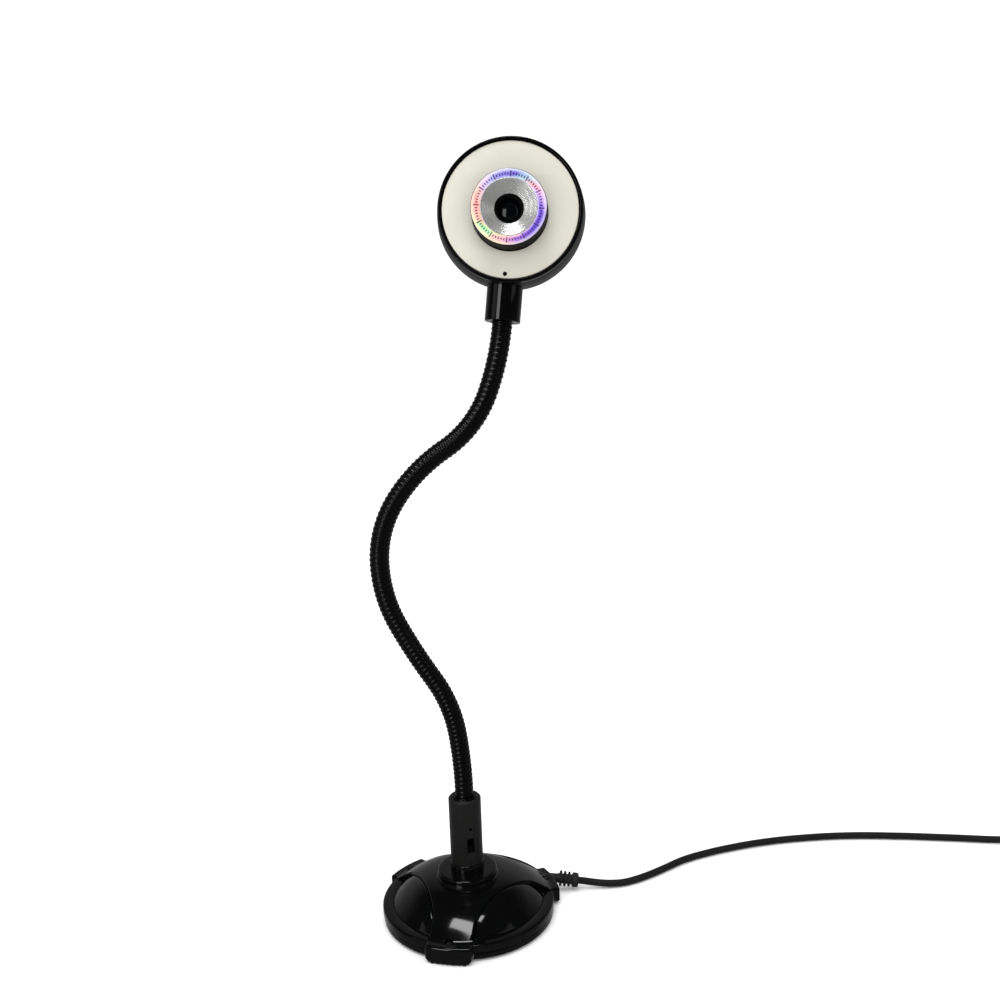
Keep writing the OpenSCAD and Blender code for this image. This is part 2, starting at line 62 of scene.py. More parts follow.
def linked(name, data, place=None):
    """A new object in the scene."""
    obj = bpy.data.objects.new(name, data)
    bpy.context.scene.collection.objects.link(obj)
    if place is not None:
        obj.matrix_world = place
    return obj


# ---- camera


def make_camera():
    place = Vector((0.0236, -0.5326, 0.3302))
    pitch, roll = math.radians(11.55), math.radians(1.95)
    data = bpy.data.cameras.new("camera")
    data.lens = 40
    data.sensor_width = 36
    data.clip_start = 0.01
    ahead = Vector((0, math.cos(pitch), -math.sin(pitch)))
    level = Vector((1, 0, 0))
    rise = level.cross(ahead)
    right = level * math.cos(roll) - rise * math.sin(roll)
    up = rise * math.cos(roll) + level * math.sin(roll)
    turn = Matrix((right, up, -ahead)).transposed()
    bpy.context.scene.camera = linked("camera", data, Matrix.Translation(place) @ turn.to_4x4())


make_camera()

# ---- materials


class Nodes:
    """A node tree, with short ways to add to it."""

    def __init__(self, tree):
        self.nodes, self.links = tree.nodes, tree.links

    def add(self, kind, **settings):
        node = self.nodes.new(kind)
        for key, value in settings.items():
            setattr(node, key, value)
        return node

    def link(self, a, b):
        self.links.new(a, b)

    def feed(self, socket, value):
        """Gives a socket a number, a colour or what another node puts out."""
        if isinstance(value, (int, float)):
            socket.default_value = value
        elif isinstance(value, tuple):
            socket.default_value = (*value, 1)
        else:
            self.link(value, socket)

    def spread(self, value, low, high, start=0.3, end=0.7):
        """The value's range from start to end, taken to low to high."""
        node = self.add("ShaderNodeMapRange")
        for name, number in (("From Min", start), ("From Max", end), ("To Min", low), ("To Max", high)):
            node.inputs[name].default_value = number
        self.link(value, node.inputs["Value"])
        return node.outputs["Result"]

    def math(self, operation, *values):
        node = self.add("ShaderNodeMath", operation=operation)
        for socket, value in zip(node.inputs, values):
            self.feed(socket, value)
        return node.outputs["Value"]


class Surface(Nodes):
    """A procedural material under construction: a Principled shader and what feeds it."""

    def __init__(self, name, slot=None, **fixed):
        self.material = bpy.data.materials.new(name)
        self.material.use_nodes = True
        super().__init__(self.material.node_tree)
        self.shader = self.nodes["Principled BSDF"]
        for socket, value in fixed.items():
            self.shader.inputs[socket.replace("_", " ")].default_value = value
        self.place = self.add("ShaderNodeTexCoord").outputs["Object"]

    def noise(self, scale, detail=3.0, stretch=None):
        node = self.add("ShaderNodeTexNoise")
        for name, number in (("Scale", scale), ("Detail", detail), ("Roughness", 0.55)):
            node.inputs[name].default_value = number
        source = self.place
        if stretch:
            mapping = self.add("ShaderNodeMapping")
            mapping.inputs["Scale"].default_value = stretch
            self.link(self.place, mapping.inputs["Vector"])
            source = mapping.outputs["Vector"]
        self.link(source, node.inputs["Vector"])
        return node.outputs["Fac"]

    def ramp(self, value, stops):
        node = self.add("ShaderNodeValToRGB")
        marks = node.color_ramp.elements
        while len(marks) < len(stops):
            marks.new(0.5)
        for mark, (at, _) in zip(marks, stops):
            mark.position = at
        for mark, (_, color) in zip(marks, stops):
            mark.color = (*color, 1)
        self.link(value, node.inputs["Fac"])
        return node.outputs["Color"]

    def mix(self, share, a, b):
        node = self.add("ShaderNodeMix", data_type="RGBA")
        for socket, value in zip((node.inputs[0], node.inputs[6], node.inputs[7]), (share, a, b)):
            self.feed(socket, value)
        return node.outputs[2]

    def edges(self, low, high):
        """How far a spot is on a worn, outward edge, from 0 to 1."""
        sharp = self.add("ShaderNodeNewGeometry").outputs["Pointiness"]
        return self.spread(sharp, 0.0, 1.0, low, high)

    def plan(self):
        """The X and Y of a spot, and its distance from the Z axis."""
        apart = self.add("ShaderNodeSeparateXYZ")
        self.link(self.place, apart.inputs["Vector"])
        x, y = apart.outputs["X"], apart.outputs["Y"]
        squares = self.math("ADD", self.math("POWER", x, 2.0), self.math("POWER", y, 2.0))
        return x, y, self.math("SQRT", squares)

    def color(self, value):
        self.link(value, self.shader.inputs["Base Color"])

    def rough(self, value):
        self.link(value, self.shader.inputs["Roughness"])

    def bump(self, height, depth, strength):
        node = self.add("ShaderNodeBump")
        node.inputs["Strength"].default_value = strength
        node.inputs["Distance"].default_value = depth
        self.link(height, node.inputs["Height"])
        self.link(node.outputs["Normal"], self.shader.inputs["Normal"])


def tinted(color, share):
    return tuple(min(1, c * share) for c in color)


def moulded(name, color, rough, uneven=0.05, grain=900, grain_depth=0.00002, wear=0.35, level=0.4, slot=None):
    """Moulded plastic: slow colour and gloss changes, a fine surface grain and lighter worn edges."""
    s = Surface(name, slot, Specular_IOR_Level=level)
    base = s.ramp(s.noise(38), [(0.3, tinted(color, 0.86)), (0.7, tinted(color, 1.14))])
    worn = s.math("MULTIPLY", s.edges(0.52, 0.60), s.spread(s.noise(140), 0.0, wear))
    s.color(s.mix(worn, base, tinted(color, 3.2)))
    s.rough(s.spread(s.noise(75, detail=5), rough - uneven, rough + uneven))
    s.bump(s.noise(grain, detail=2), grain_depth, 0.35)
    return s.material


GLOSS = moulded("gloss_black", (0.0014, 0.0016, 0.0015), 0.09, 0.025, 260, 0.000004, 0.15)
SATIN = moulded("satin_black", (0.0080, 0.0080, 0.0077), 0.42, 0.05, 2400, 0.00002, 0.3, 0.25)
SHELL = moulded("shell_grey", (0.0125, 0.0125, 0.0128), 0.40, 0.05, 2200, 0.00003, 0.3, 0.3)
SLEEVE = moulded("sleeve_black", (0.0012, 0.0012, 0.0012), 0.24, 0.05, 1800, 0.00001, 0.0, 0.28)
HOLE = moulded("hole_black", (0.0015, 0.0015, 0.0015), 0.6, 0.05, 1200, 0.00001, 0.0, 0.1, "gloss_black")
RUBBER = moulded("pad_rubber", (0.010, 0.010, 0.010), 0.62, 0.06, 1500, 0.00004, 0.2)
LEAD = moulded("lead_black", (0.008, 0.008, 0.0082), 0.36, 0.06, 1100, 0.00002, 0.2)
PLUG = moulded("plug_black", (0.010, 0.010, 0.011), 0.48, 0.05, 1600, 0.00004)
LENS_BLACK = moulded("lens_black", (0.0015, 0.0015, 0.0015), 0.6, 0.05, 1200, 0.00002, 0.05, 0.1)
BARREL = moulded("barrel_black", (0.0016, 0.0016, 0.0016), 0.5, 0.05, 2000, 0.00002, 0.1, 0.04, "gloss_black")
WHITE = moulded("plug_white", (0.78, 0.78, 0.75), 0.35, 0.05, 900, 0.00001, 0.0)
BOARD = moulded("board_green", (0.012, 0.10, 0.04), 0.35, 0.06, 700, 0.00004)
SENSOR = moulded("sensor_dark", (0.02, 0.03, 0.07), 0.12, 0.03, 300, 0.000004, 0.1)


def painted_plate():
    """Satin paint over metal: warm light grey, with a faint grain and slow drift."""
    s = Surface("plate_grey", Metallic=0.08, Specular_IOR_Level=0.4)
    cool, warm, fleck = (0.57, 0.558, 0.485), (0.60, 0.585, 0.505), (0.64, 0.63, 0.56)
    paint = s.ramp(s.noise(22, detail=2), [(0.35, cool), (0.65, warm)])
    s.color(s.mix(s.spread(s.noise(1700, detail=2), 0.0, 0.25), paint, fleck))
    s.rough(s.spread(s.noise(90, detail=4), 0.36, 0.46))
    s.bump(s.noise(2600, detail=2), 0.00001, 0.3)
    return s.material


def metal(name, color, rough, stretch=None):
    """Bare metal with fine machining streaks."""
    s = Surface(name, Metallic=1.0)
    fine = s.noise(900, detail=4, stretch=stretch)
    s.color(s.ramp(s.noise(60), [(0.3, tinted(color, 0.9)), (0.7, tinted(color, 1.06))]))
    s.rough(s.spread(fine, rough - 0.06, rough + 0.08))
    s.bump(fine, 0.000008, 0.3)
    return s.material


def turned_silver():
    """Turned aluminium: the tool's fine rings round the lens axis, each groove darkened with painted shade,
    and a radial sheen.
    """
    s = Surface("cone_silver", Metallic=0.8, Anisotropic=0.3)
    ring_pitch = 0.00058
    _, _, across = s.plan()
    silver = s.ramp(s.noise(120, detail=1), [(0.3, (0.80, 0.80, 0.79)), (0.7, (0.88, 0.88, 0.87))])
    wobble = s.math("MULTIPLY", s.noise(60, detail=1), 0.3)
    grooves_and_shade = s.math("SINE", s.math("ADD", s.math("MULTIPLY", across, 2 * math.pi / ring_pitch), wobble))
    # Painted shade: the colour turns dark grey along each ring's groove; the same wave also drives the real
    # groove bump.
    s.color(s.mix(s.spread(grooves_and_shade, 0.0, 0.62, -0.1, 1.0), silver, (0.36, 0.36, 0.36)))
    s.rough(s.spread(s.noise(60, detail=1), 0.25, 0.28))
    s.bump(grooves_and_shade, 0.000004, 0.35)
    around = s.add("ShaderNodeTangent", direction_type="RADIAL", axis="Z")
    s.link(around.outputs["Tangent"], s.shader.inputs["Tangent"])
    return s.material


def rainbow_foil(inner, outer):
    """Iridescent foil with its rainbow painted in as reflection: the hue runs round the lens axis and changes
    from rim to rim, under a plain scale.
    """
    s = Surface("rainbow_foil", Metallic=0.1, Specular_IOR_Level=0.3)
    x, y, across = s.plan()
    turn = s.spread(s.math("ARCTAN2", y, x), 0.0, 1.0, -math.pi, math.pi)
    depth = s.spread(across, 0.0, 1.0, inner, outer)
    drift = s.math("MULTIPLY", s.math("SUBTRACT", s.noise(230, detail=2), 0.5), 0.10)
    lean = s.math("MULTIPLY", s.math("SUBTRACT", depth, 0.5), 0.05)
    at = s.math("FRACT", s.math("ADD", s.math("ADD", turn, drift), s.math("ADD", lean, 1.0)))
    # Painted reflection: the rainbow that the foil throws back under the lamps, fixed round the lens axis.
    painted_rainbow = s.ramp(at, [
        (0.00, (0.86, 0.30, 0.33)), (0.06, (0.80, 0.42, 0.36)), (0.10, (0.30, 0.70, 0.36)),
        (0.15, (0.42, 0.80, 0.45)), (0.19, (0.85, 0.45, 0.42)), (0.25, (0.80, 0.36, 0.52)),
        (0.31, (0.30, 0.12, 0.64)), (0.40, (0.11, 0.04, 0.56)), (0.50, (0.12, 0.05, 0.58)),
        (0.57, (0.62, 0.38, 0.80)), (0.62, (0.85, 0.32, 0.36)), (0.67, (0.30, 0.50, 0.62)),
        (0.73, (0.12, 0.06, 0.56)), (0.80, (0.22, 0.17, 0.66)), (0.86, (0.40, 0.40, 0.76)),
        (0.91, (0.66, 0.44, 0.72)), (0.96, (0.90, 0.42, 0.36)), (1.00, (0.86, 0.30, 0.33)),
    ])
    pale = s.ramp(at, [
        (0.0, (0.90, 0.62, 0.45)), (0.25, (0.92, 0.84, 0.45)), (0.5, (0.72, 0.66, 0.92)),
        (0.75, (0.75, 0.86, 0.95)), (1.0, (0.90, 0.62, 0.45)),
    ])
    # The painted rainbow turns paler towards both rims.
    paleness = ((0.0, 1.0), (0.22, 0.15), (0.6, 0.0), (0.82, 0.25), (1.0, 0.9))
    rims = s.ramp(depth, [(share, (value, value, value)) for share, value in paleness])
    foil = s.mix(s.math("MULTIPLY", rims, 0.6), painted_rainbow, pale)
    ticks, per_long, wide, short, longer, ink = 72.0, 6.0, 0.40, 0.16, 0.26, 0.93
    mark = s.math("LESS_THAN", s.math("FRACT", s.math("MULTIPLY", turn, ticks)), wide)
    long_turn = s.math("FRACT", s.math("MULTIPLY", turn, ticks / per_long))
    reach = s.math("ADD", short, s.math("MULTIPLY", s.math("LESS_THAN", long_turn, 1.0 / per_long), longer))
    inside = s.math("LESS_THAN", s.math("ABSOLUTE", s.math("SUBTRACT", depth, 0.5)), reach)
    printed = s.math("MULTIPLY", s.math("MULTIPLY", mark, inside), ink)
    s.color(s.mix(printed, foil, (0.02, 0.015, 0.03)))
    s.rough(s.spread(s.noise(700, detail=3), 0.22, 0.36))
    s.bump(s.noise(1500, detail=2), 0.000006, 0.3)
    return s.material


def coated_glass():
    """The glass, painted nearly black for the shaded lens inside it, with a faint blue and green painted
    coating reflection.
    """
    s = Surface("lens_clear", Roughness=0.04, Specular_IOR_Level=0.3)
    # Painted shade and reflection: near-black for the dark inside, tinted blue and green for the coating's
    # sheen.
    s.color(s.ramp(s.noise(120), [(0.35, (0.0010, 0.0012, 0.0022)), (0.65, (0.0015, 0.0022, 0.0025))]))
    return s.material


PLATE = painted_plate()
STEEL = metal("screw_steel", (0.62, 0.62, 0.63), 0.28, (1, 1, 6))
CORE = metal("neck_steel", (0.45, 0.45, 0.46), 0.4, (1, 1, 4))
IRON = metal("ballast_iron", (0.10, 0.10, 0.105), 0.65)
SILVER = turned_silver()
GLASS = coated_glass()

# ---- shaping


@contextmanager
def editing(mesh):
    """The mesh's faces, to be changed. At the end its normals are turned outward."""
    bm = bmesh.new()
    bm.from_mesh(mesh)
    yield bm
    bmesh.ops.recalc_face_normals(bm, faces=bm.faces)
    bm.to_mesh(mesh)
    bm.free()


def meshed(name, points, faces):
    """A mesh from points in millimetres."""
    mesh = bpy.data.meshes.new(name)
    mesh.from_pydata([tuple(float(c) * MM for c in p) for p in points], [], faces)
    return mesh


def dressed(obj, body, material, node=None, smooth=35):
    """Gives a piece its material, its body, and the CAD node that it stands for."""
    obj.data.materials.clear()
    obj.data.materials.append(material)
    obj.data.shade_smooth()
    obj.data.set_sharp_from_angle(angle=math.radians(smooth))
    if body:
        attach(obj, body)
    if node:
        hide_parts(node)
    return obj


def piece(name, points, faces, body, material, node=None, place=None, smooth=35):
    """A piece from points in millimetres. place is the frame that the points are in."""
    mesh = meshed(name, points, faces)
    with editing(mesh) as bm:
        bmesh.ops.remove_doubles(bm, verts=bm.verts, dist=1e-7)
        bmesh.ops.dissolve_degenerate(bm, dist=1e-8, edges=bm.edges)
    return dressed(linked(name, mesh, place), body, material, node, smooth)


def rectangle(x0, y0, x1, y1):
    return [(x0, y0), (x1, y0), (x1, y1), (x0, y1)]


def circle(radius, count=48):
    angles = [2 * math.pi * k / count for k in range(count)]
    return [(radius * math.cos(a), radius * math.sin(a)) for a in angles]


def rounded(corners, radius, steps=5):
    """A closed outline with rounded corners. radius is one number, or one for each corner."""
    count = len(corners)
    radii = [radius] * count if isinstance(radius, (int, float)) else radius
    out = []
    for i, r in enumerate(radii):
        p = Vector(corners[i])
        a, b = Vector(corners[i - 1]) - p, Vector(corners[(i + 1) % count]) - p
        half = a.angle(b) / 2 if r > 0 and min(a.length, b.length) >= 1e-6 else math.pi
        if half > math.pi / 2 - 0.02:
            out.append(tuple(p))
            continue
        run = min(r / math.tan(half), 0.46 * a.length, 0.46 * b.length)
        r = run * math.tan(half)
        a.normalize(), b.normalize()
        centre = p + (a + b).normalized() * (r / math.sin(half))
        start, end = p + a * run - centre, p + b * run - centre
        sweep = start.angle_signed(end) if start.length > 0 else 0
        for k in range(steps + 1):
            t = -sweep * k / steps
            out.append((
                centre.x + start.x * math.cos(t) - start.y * math.sin(t),
                centre.y + start.x * math.sin(t) + start.y * math.cos(t),
            ))
    return out


def loft(rows, capped=False):
    """Points and faces through closed rows. The last row meets the first, or both are capped."""
    n, m = len(rows), len(rows[0])
    points = [p for row in rows for p in row]
    faces = []
    for i in range(n - 1 if capped else n):
        for k in range(m):
            a, b = i * m, (i + 1) % n * m
            faces.append((a + k, a + (k + 1) % m, b + (k + 1) % m, b + k))
    if capped:
        faces += [tuple(range(m - 1, -1, -1)), tuple((n - 1) * m + k for k in range(m))]
    return points, faces


def gathered(shapes):
    """The points and faces of several separate shapes as one."""
    points, faces = [], []
    for more, sides in shapes:
        faces += [tuple(len(points) + q for q in side) for side in sides]
        points += more
    return points, faces


def gridded(grid):
    """A grid's points and faces, and the indices round its rim."""
    n, m = len(grid), len(grid[0])
    points = [p for row in grid for p in row]
    faces = [
        (i * m + k, i * m + k + 1, (i + 1) * m + k + 1, (i + 1) * m + k)
        for i in range(n - 1) for k in range(m - 1)
    ]
    rim = list(range(m)) + [i * m + m - 1 for i in range(1, n)]
    rim += [(n - 1) * m + k for k in range(m - 2, -1, -1)] + [i * m for i in range(n - 2, 0, -1)]
    return points, faces, rim


def walls(upper, lower):
    """Faces between two rings of indices."""
    pairs = zip(upper, upper[1:] + upper[:1], lower[1:] + lower[:1], lower)
    return [(b, a, d, c) for a, b, c, d in pairs]


def turned(name, outline, body, material, node=None, place=None, segments=192, smooth=35):
    """A closed outline of (radius, height) turned about its Z axis."""
    angles = [2 * math.pi * k / segments for k in range(segments)]
    rows = [[(max(r, 0) * math.cos(a), max(r, 0) * math.sin(a), z) for a in angles] for r, z in outline]
    return piece(name, *loft(rows), body, material, node, place, smooth)


def healed(mesh):
    """Welds the cracks and closes the slits that a boolean leaves."""
    with editing(mesh) as bm:
        bmesh.ops.remove_doubles(bm, verts=bm.verts, dist=3e-6)
        bmesh.ops.dissolve_degenerate(bm, dist=1e-7, edges=bm.edges)
        bmesh.ops.holes_fill(bm, edges=[edge for edge in bm.edges if edge.is_boundary], sides=0)
        loose = [edge for edge in bm.edges if not edge.link_faces]
        bmesh.ops.delete(bm, geom=loose, context="EDGES")


def boolean(obj, other, operation):
    change = obj.modifiers.new("boolean", "BOOLEAN")
    change.operation = operation
    change.solver = "EXACT"
    change.object = other
    bpy.context.view_layer.update()
    result = bpy.data.meshes.new_from_object(obj.evaluated_get(bpy.context.evaluated_depsgraph_get()))
    obj.modifiers.clear()
    old = obj.data
    obj.data = result
    bpy.data.meshes.remove(old)
    bpy.data.objects.remove(other)
    healed(result)
    return obj


def cut(obj, *cutters):
    """Takes the cutters' shapes out of obj."""
    for cutter in cutters:
        boolean(obj, cutter, "DIFFERENCE")


def add(obj, other):
    """Joins another shape to obj."""
    return boolean(obj, other, "UNION")


def tool_prism(outline, height, place):
    """A closed prism to cut with, its outline in the XY plane of place."""
    mesh = meshed("tool", *loft([[(x, y, z) for x, y in outline] for z in (0, height)], capped=True))
    with editing(mesh):
        pass
    return linked("tool", mesh, place)


def about_z(degrees):
    return Matrix.Rotation(math.radians(degrees), 4, "Z")


def shifted(place, x, y, z):
    """The frame place, moved by so many millimetres along its own axes."""
    return place @ Matrix.Translation(Vector((x, y, z)) * MM)


WORLD = Matrix.Identity(4)

# ---- places, from the frame

JOINTS = {j["name"]: j for j in frame["joints"]}
LENS_AXIS = Vector(JOINTS["focus_turn"]["axis"]).normalized()
LENS_AT = Vector(JOINTS["focus_turn"]["pos_m"])
PLATE_THICK = 1.2


def middle(node):
    low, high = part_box(node)
    return (low + high) / 2


def frame_of(x, y, z, at):
    return Matrix.Translation(at) @ Matrix((x, y, z)).transposed().to_4x4()


plate_at = middle("face_plate") + LENS_AXIS * (PLATE_THICK / 2 * MM)
down = middle("microphone") - plate_at
HEAD_UP = -(down - LENS_AXIS * down.dot(LENS_AXIS)).normalized()
HEAD_RIGHT = HEAD_UP.cross(LENS_AXIS)
PLATE_FRAME = frame_of(HEAD_RIGHT, HEAD_UP, LENS_AXIS, plate_at)
LENS_FRAME = frame_of(HEAD_RIGHT, HEAD_UP, LENS_AXIS, LENS_AT)
HEAD_FRAME = frame_of(HEAD_RIGHT, -LENS_AXIS, HEAD_UP, plate_at)

# ---- the lead

LEAD_D = 3.8
ROUTE = [
    (59, 18.9, 4.75), (63, 18.9, 4.1), (68, 18.7, 3.3), (73, 18.6, 2.65), (78, 18.9, 2.2),
    (84, 19.8, 2), (92, 22.9, 2), (100, 27.4, 2), (109, 33.4, 2), (120, 41, 2),
    (134, 47.5, 2), (150, 53, 2), (170, 58, 2), (194, 61.2, 2), (220, 62, 2),
    (248, 59.7, 2), (276, 55.8, 2), (304, 51.5, 2), (330, 49.2, 2.1), (354, 49.1, 2.3),
]
TAIL = [(399.2, 17, 13.4), (400, 5, 11), (401, -7, 7.6), (402, -19, 4.8), (402, -31, 4), (402, -43, 4)]
COIL_AT = (376, 27)
PLUG_AT = (402, -41, 4)
COIL_MID = 21
COIL_LOW = 2.5


def coil_points(per_turn=24, turns=7.25):
    """The coil's turns, two side by side in each layer, each a lead's width from its neighbours."""
    seats = [(1, 0), (0, 0), (0, 1), (1, 1), (1, 2), (0, 2), (0, 3), (1, 3)]
    change = 0.3
    points = []
    for k in range(int(per_turn * turns) + 1):
        turn, share = divmod(k / per_turn, 1)
        (out_a, up_a), (out_b, up_b) = seats[int(turn)], seats[min(int(turn) + 1, len(seats) - 1)]
        swing = math.pi / 2 * min(1, max(0, (share - 1 + change) / change))
        inward = 1 - math.cos(swing) if out_b < out_a else math.sin(swing)
        out = out_a + (out_b - out_a) * inward
        up = up_a + (up_b - up_a) * math.sin(swing)
        r = COIL_MID + LEAD_D * (out - 0.5)
        a = 2 * math.pi * share
        points.append((COIL_AT[0] + r * math.sin(a), COIL_AT[1] + r * math.cos(a), COIL_LOW + LEAD_D * up))
    return points


def make_lead():
    points = ROUTE + coil_points() + TAIL
    data = bpy.data.curves.new("lead", "CURVE")
    data.dimensions = "3D"
    data.resolution_u = data.bevel_resolution = 6
    data.bevel_depth = LEAD_D / 2 * MM
    data.use_fill_caps = True
    spline = data.splines.new("BEZIER")
    spline.bezier_points.add(len(points) - 1)
    for knot, point in zip(spline.bezier_points, points):
        knot.co = Vector(point) * MM
        knot.handle_left_type = knot.handle_right_type = "AUTO"
    data.materials.append(LEAD)
    lead = linked("lead", data)
    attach(lead, "base")
    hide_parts("lead_run", "lead_coil", "lead_tail")
    return lead


def make_tie():
    """The strap round the coil, a flat band where the CAD tie is."""
    low, high = (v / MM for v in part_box("coil_tie"))
    gap, half_band, thick = 1.1, 1.88, 0.5
    near, wide, tall = COIL_MID - LEAD_D - gap, 2 * (LEAD_D + gap), high.z - low.z
    ring = rounded(rectangle(0, 0, wide, tall), 1.9, 8)
    inner = rounded(rectangle(thick, thick, wide - thick, tall - thick), 1.4, 8)
    sides = ((inner, -half_band), (ring, -half_band), (ring, half_band), (inner, half_band))
    rows = [[(near + x, y, z) for x, z in line] for line, y in sides]
    place = shifted(WORLD, *COIL_AT, 0) @ about_z(-135)
    return piece("coil_strap", *loft(rows), "base", PLUG, "coil_tie", place)


def make_plug():
    """The plug's grip, with a tapered nose and ribs to hold it by."""
    nose, long, wide, tall = 9.0, 33.0, 15.6, 7.8
    stations = [
        (0.0, 5.0, 5.0), (3.0, 5.6, 5.4), (6.5, 6.6, 6.2), (8.6, 9.4, 7.0), (10.0, 12.6, 7.4),
        (12.0, wide - 0.6, tall - 0.2), (14.0, wide, tall),
    ]
    for k in range(5):
        z = 15.6 + 2.2 * k
        stations += [(z - 0.5, wide, tall), (z, wide - 0.7, tall - 0.5), (z + 0.5, wide, tall)]
    stations += [(long - drop, wide - less, tall - less) for drop, less in ((0.8, 0), (0.25, 0.35), (0, 1.2))]
    rows = []
    for z, w, h in stations:
        corner = 0.49 * min(w, h) if z < nose else 2.0
        rows.append([(x, y, z) for x, y in rounded(rectangle(-w / 2, -h / 2, w / 2, h / 2), corner, 8)])
    place = shifted(WORLD, *PLUG_AT) @ Matrix.Rotation(math.radians(90), 4, "X")
    return piece("plug_grip", *loft(rows, capped=True), "base", PLUG, "plug_body", place)


lead = make_lead()
coil_strap = make_tie()
plug_grip = make_plug()

# ---- the base

BASE_R = 45
TAB_HALF, TAB_R = 11.75, 48.5
LEG_HALF, LEG_R = 10.75, 42.4
SEAM_R, SEAM_IN = 110, 22.8
SEAM_GAP = 0.14
PANEL_R = 39.4
RIM_IN = 39.45
TRAY_R, TRAY_LOW, TRAY_TOP = 37.9, 0.9, 2.5
TAB_TURNS = (-101.5, 18.5, 138.5)
LEG_LOW = 10.2
DIMPLE_AT, DIMPLE_R = 43.6, 1.95
COVER_DOME = [(9, 21.9), (LEG_R, LEG_LOW), 3.2]
PANEL_DOME = [(15.5, 21.6), (PANEL_R, 9.1), 2.8]
GLAND_AT = (43.6, 18.9, 7.2)
GLAND_TAB = 2


def dome_height(r, dome, n=60):
    """The height at radius r of a dome that runs from its first point to its second and bulges between."""
    (r0, z0), (r1, z1), bulge = dome
    line = []
    for i in range(n + 1):
        t = i / n
        s = bulge * math.sin(math.pi * t)
        line.append((r0 + (r1 - r0) * t + 0.45 * s, z0 + (z1 - z0) * t + s))
    return np.interp(r, *zip(*line))


def fall(distance, radius):
    """How far a rounded edge of that radius lies under the surface, at a distance in from the edge."""
    d = np.clip(radius - distance, 0, radius)
    return radius - np.sqrt(np.maximum(radius * radius - d * d, 0))


def distance_to(points, line):
    """The distance of each point from a polyline, both in the plane."""
    a, b = line[:-1], line[1:]
    run = b - a
    size = np.maximum((run * run).sum(1), 1e-12)
    best = np.full(len(points), 1e9)
    for p0, d, s in zip(a, run, size):
        t = np.clip(((points - p0) @ d) / s, 0, 1)
        best = np.minimum(best, np.linalg.norm(points - p0 - t[:, None] * d, axis=1))
    return best


def seam_radius(turn, clearance=0):
    """Where a ray at this turn from a leg's middle meets the seam between the cover and a panel."""
    a = math.radians(abs(turn))
    leg = (LEG_HALF + clearance) / max(math.sin(a), 1e-6)
    b = math.radians(60) - a
    centre = SEAM_R + SEAM_IN
    arc = centre * math.cos(b) - math.sqrt(max((SEAM_R - clearance) ** 2 - (centre * math.sin(b)) ** 2, 0))
    return max(leg, arc)


def spaced(*stretches):
    """Numbers up from 0, each stretch an end and the number of steps to it, and the same ones down from 0."""
    half = [0.0]
    for end, steps in stretches:
        half += list(np.linspace(half[-1], end, steps + 1))[1:]
    return [-a for a in reversed(half[1:])] + half


def eased(n):
    """n steps from 0 to 1, closer together at both ends."""
    return [(1 - math.cos(math.pi * i / n)) / 2 for i in range(n + 1)]


def grid_of(columns, inner, outer, shares):
    """Plan points of a grid: a column for each turn, from its inner to its outer radius."""
    ways = [(math.cos(math.radians(a)), math.sin(math.radians(a))) for a in columns]
    return np.array([
        [((i + (o - i) * t) * x, (i + (o - i) * t) * y) for (x, y), i, o in zip(ways, inner, outer)]
        for t in shares
    ])


def raised(plan, top):
    """The grid's plan points, each with its height."""
    return np.concatenate([plan, np.asarray(top).reshape(*plan.shape[:2], 1)], axis=2).tolist()


def make_cover():
    """The three-legged dome, its edges rounded along the seams."""
    leg_end = math.degrees(math.asin(LEG_HALF / LEG_R))
    bite = math.degrees(math.asin(DIMPLE_R / DIMPLE_AT))
    turns = spaced((bite, 8), (leg_end, 15), (19.2, 17), (30, 13), (60, 23))
    columns, outer, seam = [], [], []
    for leg in TAB_TURNS:
        for a in turns[:-1]:
            edge = min(LEG_R, seam_radius(a))
            if abs(a) < bite:
                across = DIMPLE_AT * math.sin(math.radians(a))
                chord = math.sqrt(max(DIMPLE_R ** 2 - across ** 2, 0))
                edge = min(edge, DIMPLE_AT * math.cos(math.radians(a)) - chord)
            columns.append(leg + a)
            outer.append(edge)
            seam.append(abs(a) >= leg_end - 1e-6)
    rows = 46
    shares = [1 - (1 - i / rows) ** 2.0 for i in range(rows + 1)]
    plan = grid_of(columns, [9.4] * len(columns), outer, shares)
    flat = plan.reshape(-1, 2)
    start = seam.index(False)
    order = list(range(start, len(columns))) + list(range(start))
    seams = [[plan[-1][j] for j in run] for is_seam, run in groupby(order, lambda j: seam[j]) if is_seam]
    away = np.min([distance_to(flat, np.array(line)) for line in seams], axis=0)
    r = np.linalg.norm(flat, axis=1)
    top = dome_height(r, COVER_DOME) - fall(away, 0.6)
    thick = np.interp(r, [28, 36], [1.6, 3.4])
    piece("cover", *loft(raised(plan, top) + raised(plan, top - thick)[::-1]), "base", GLOSS, "base_cover")


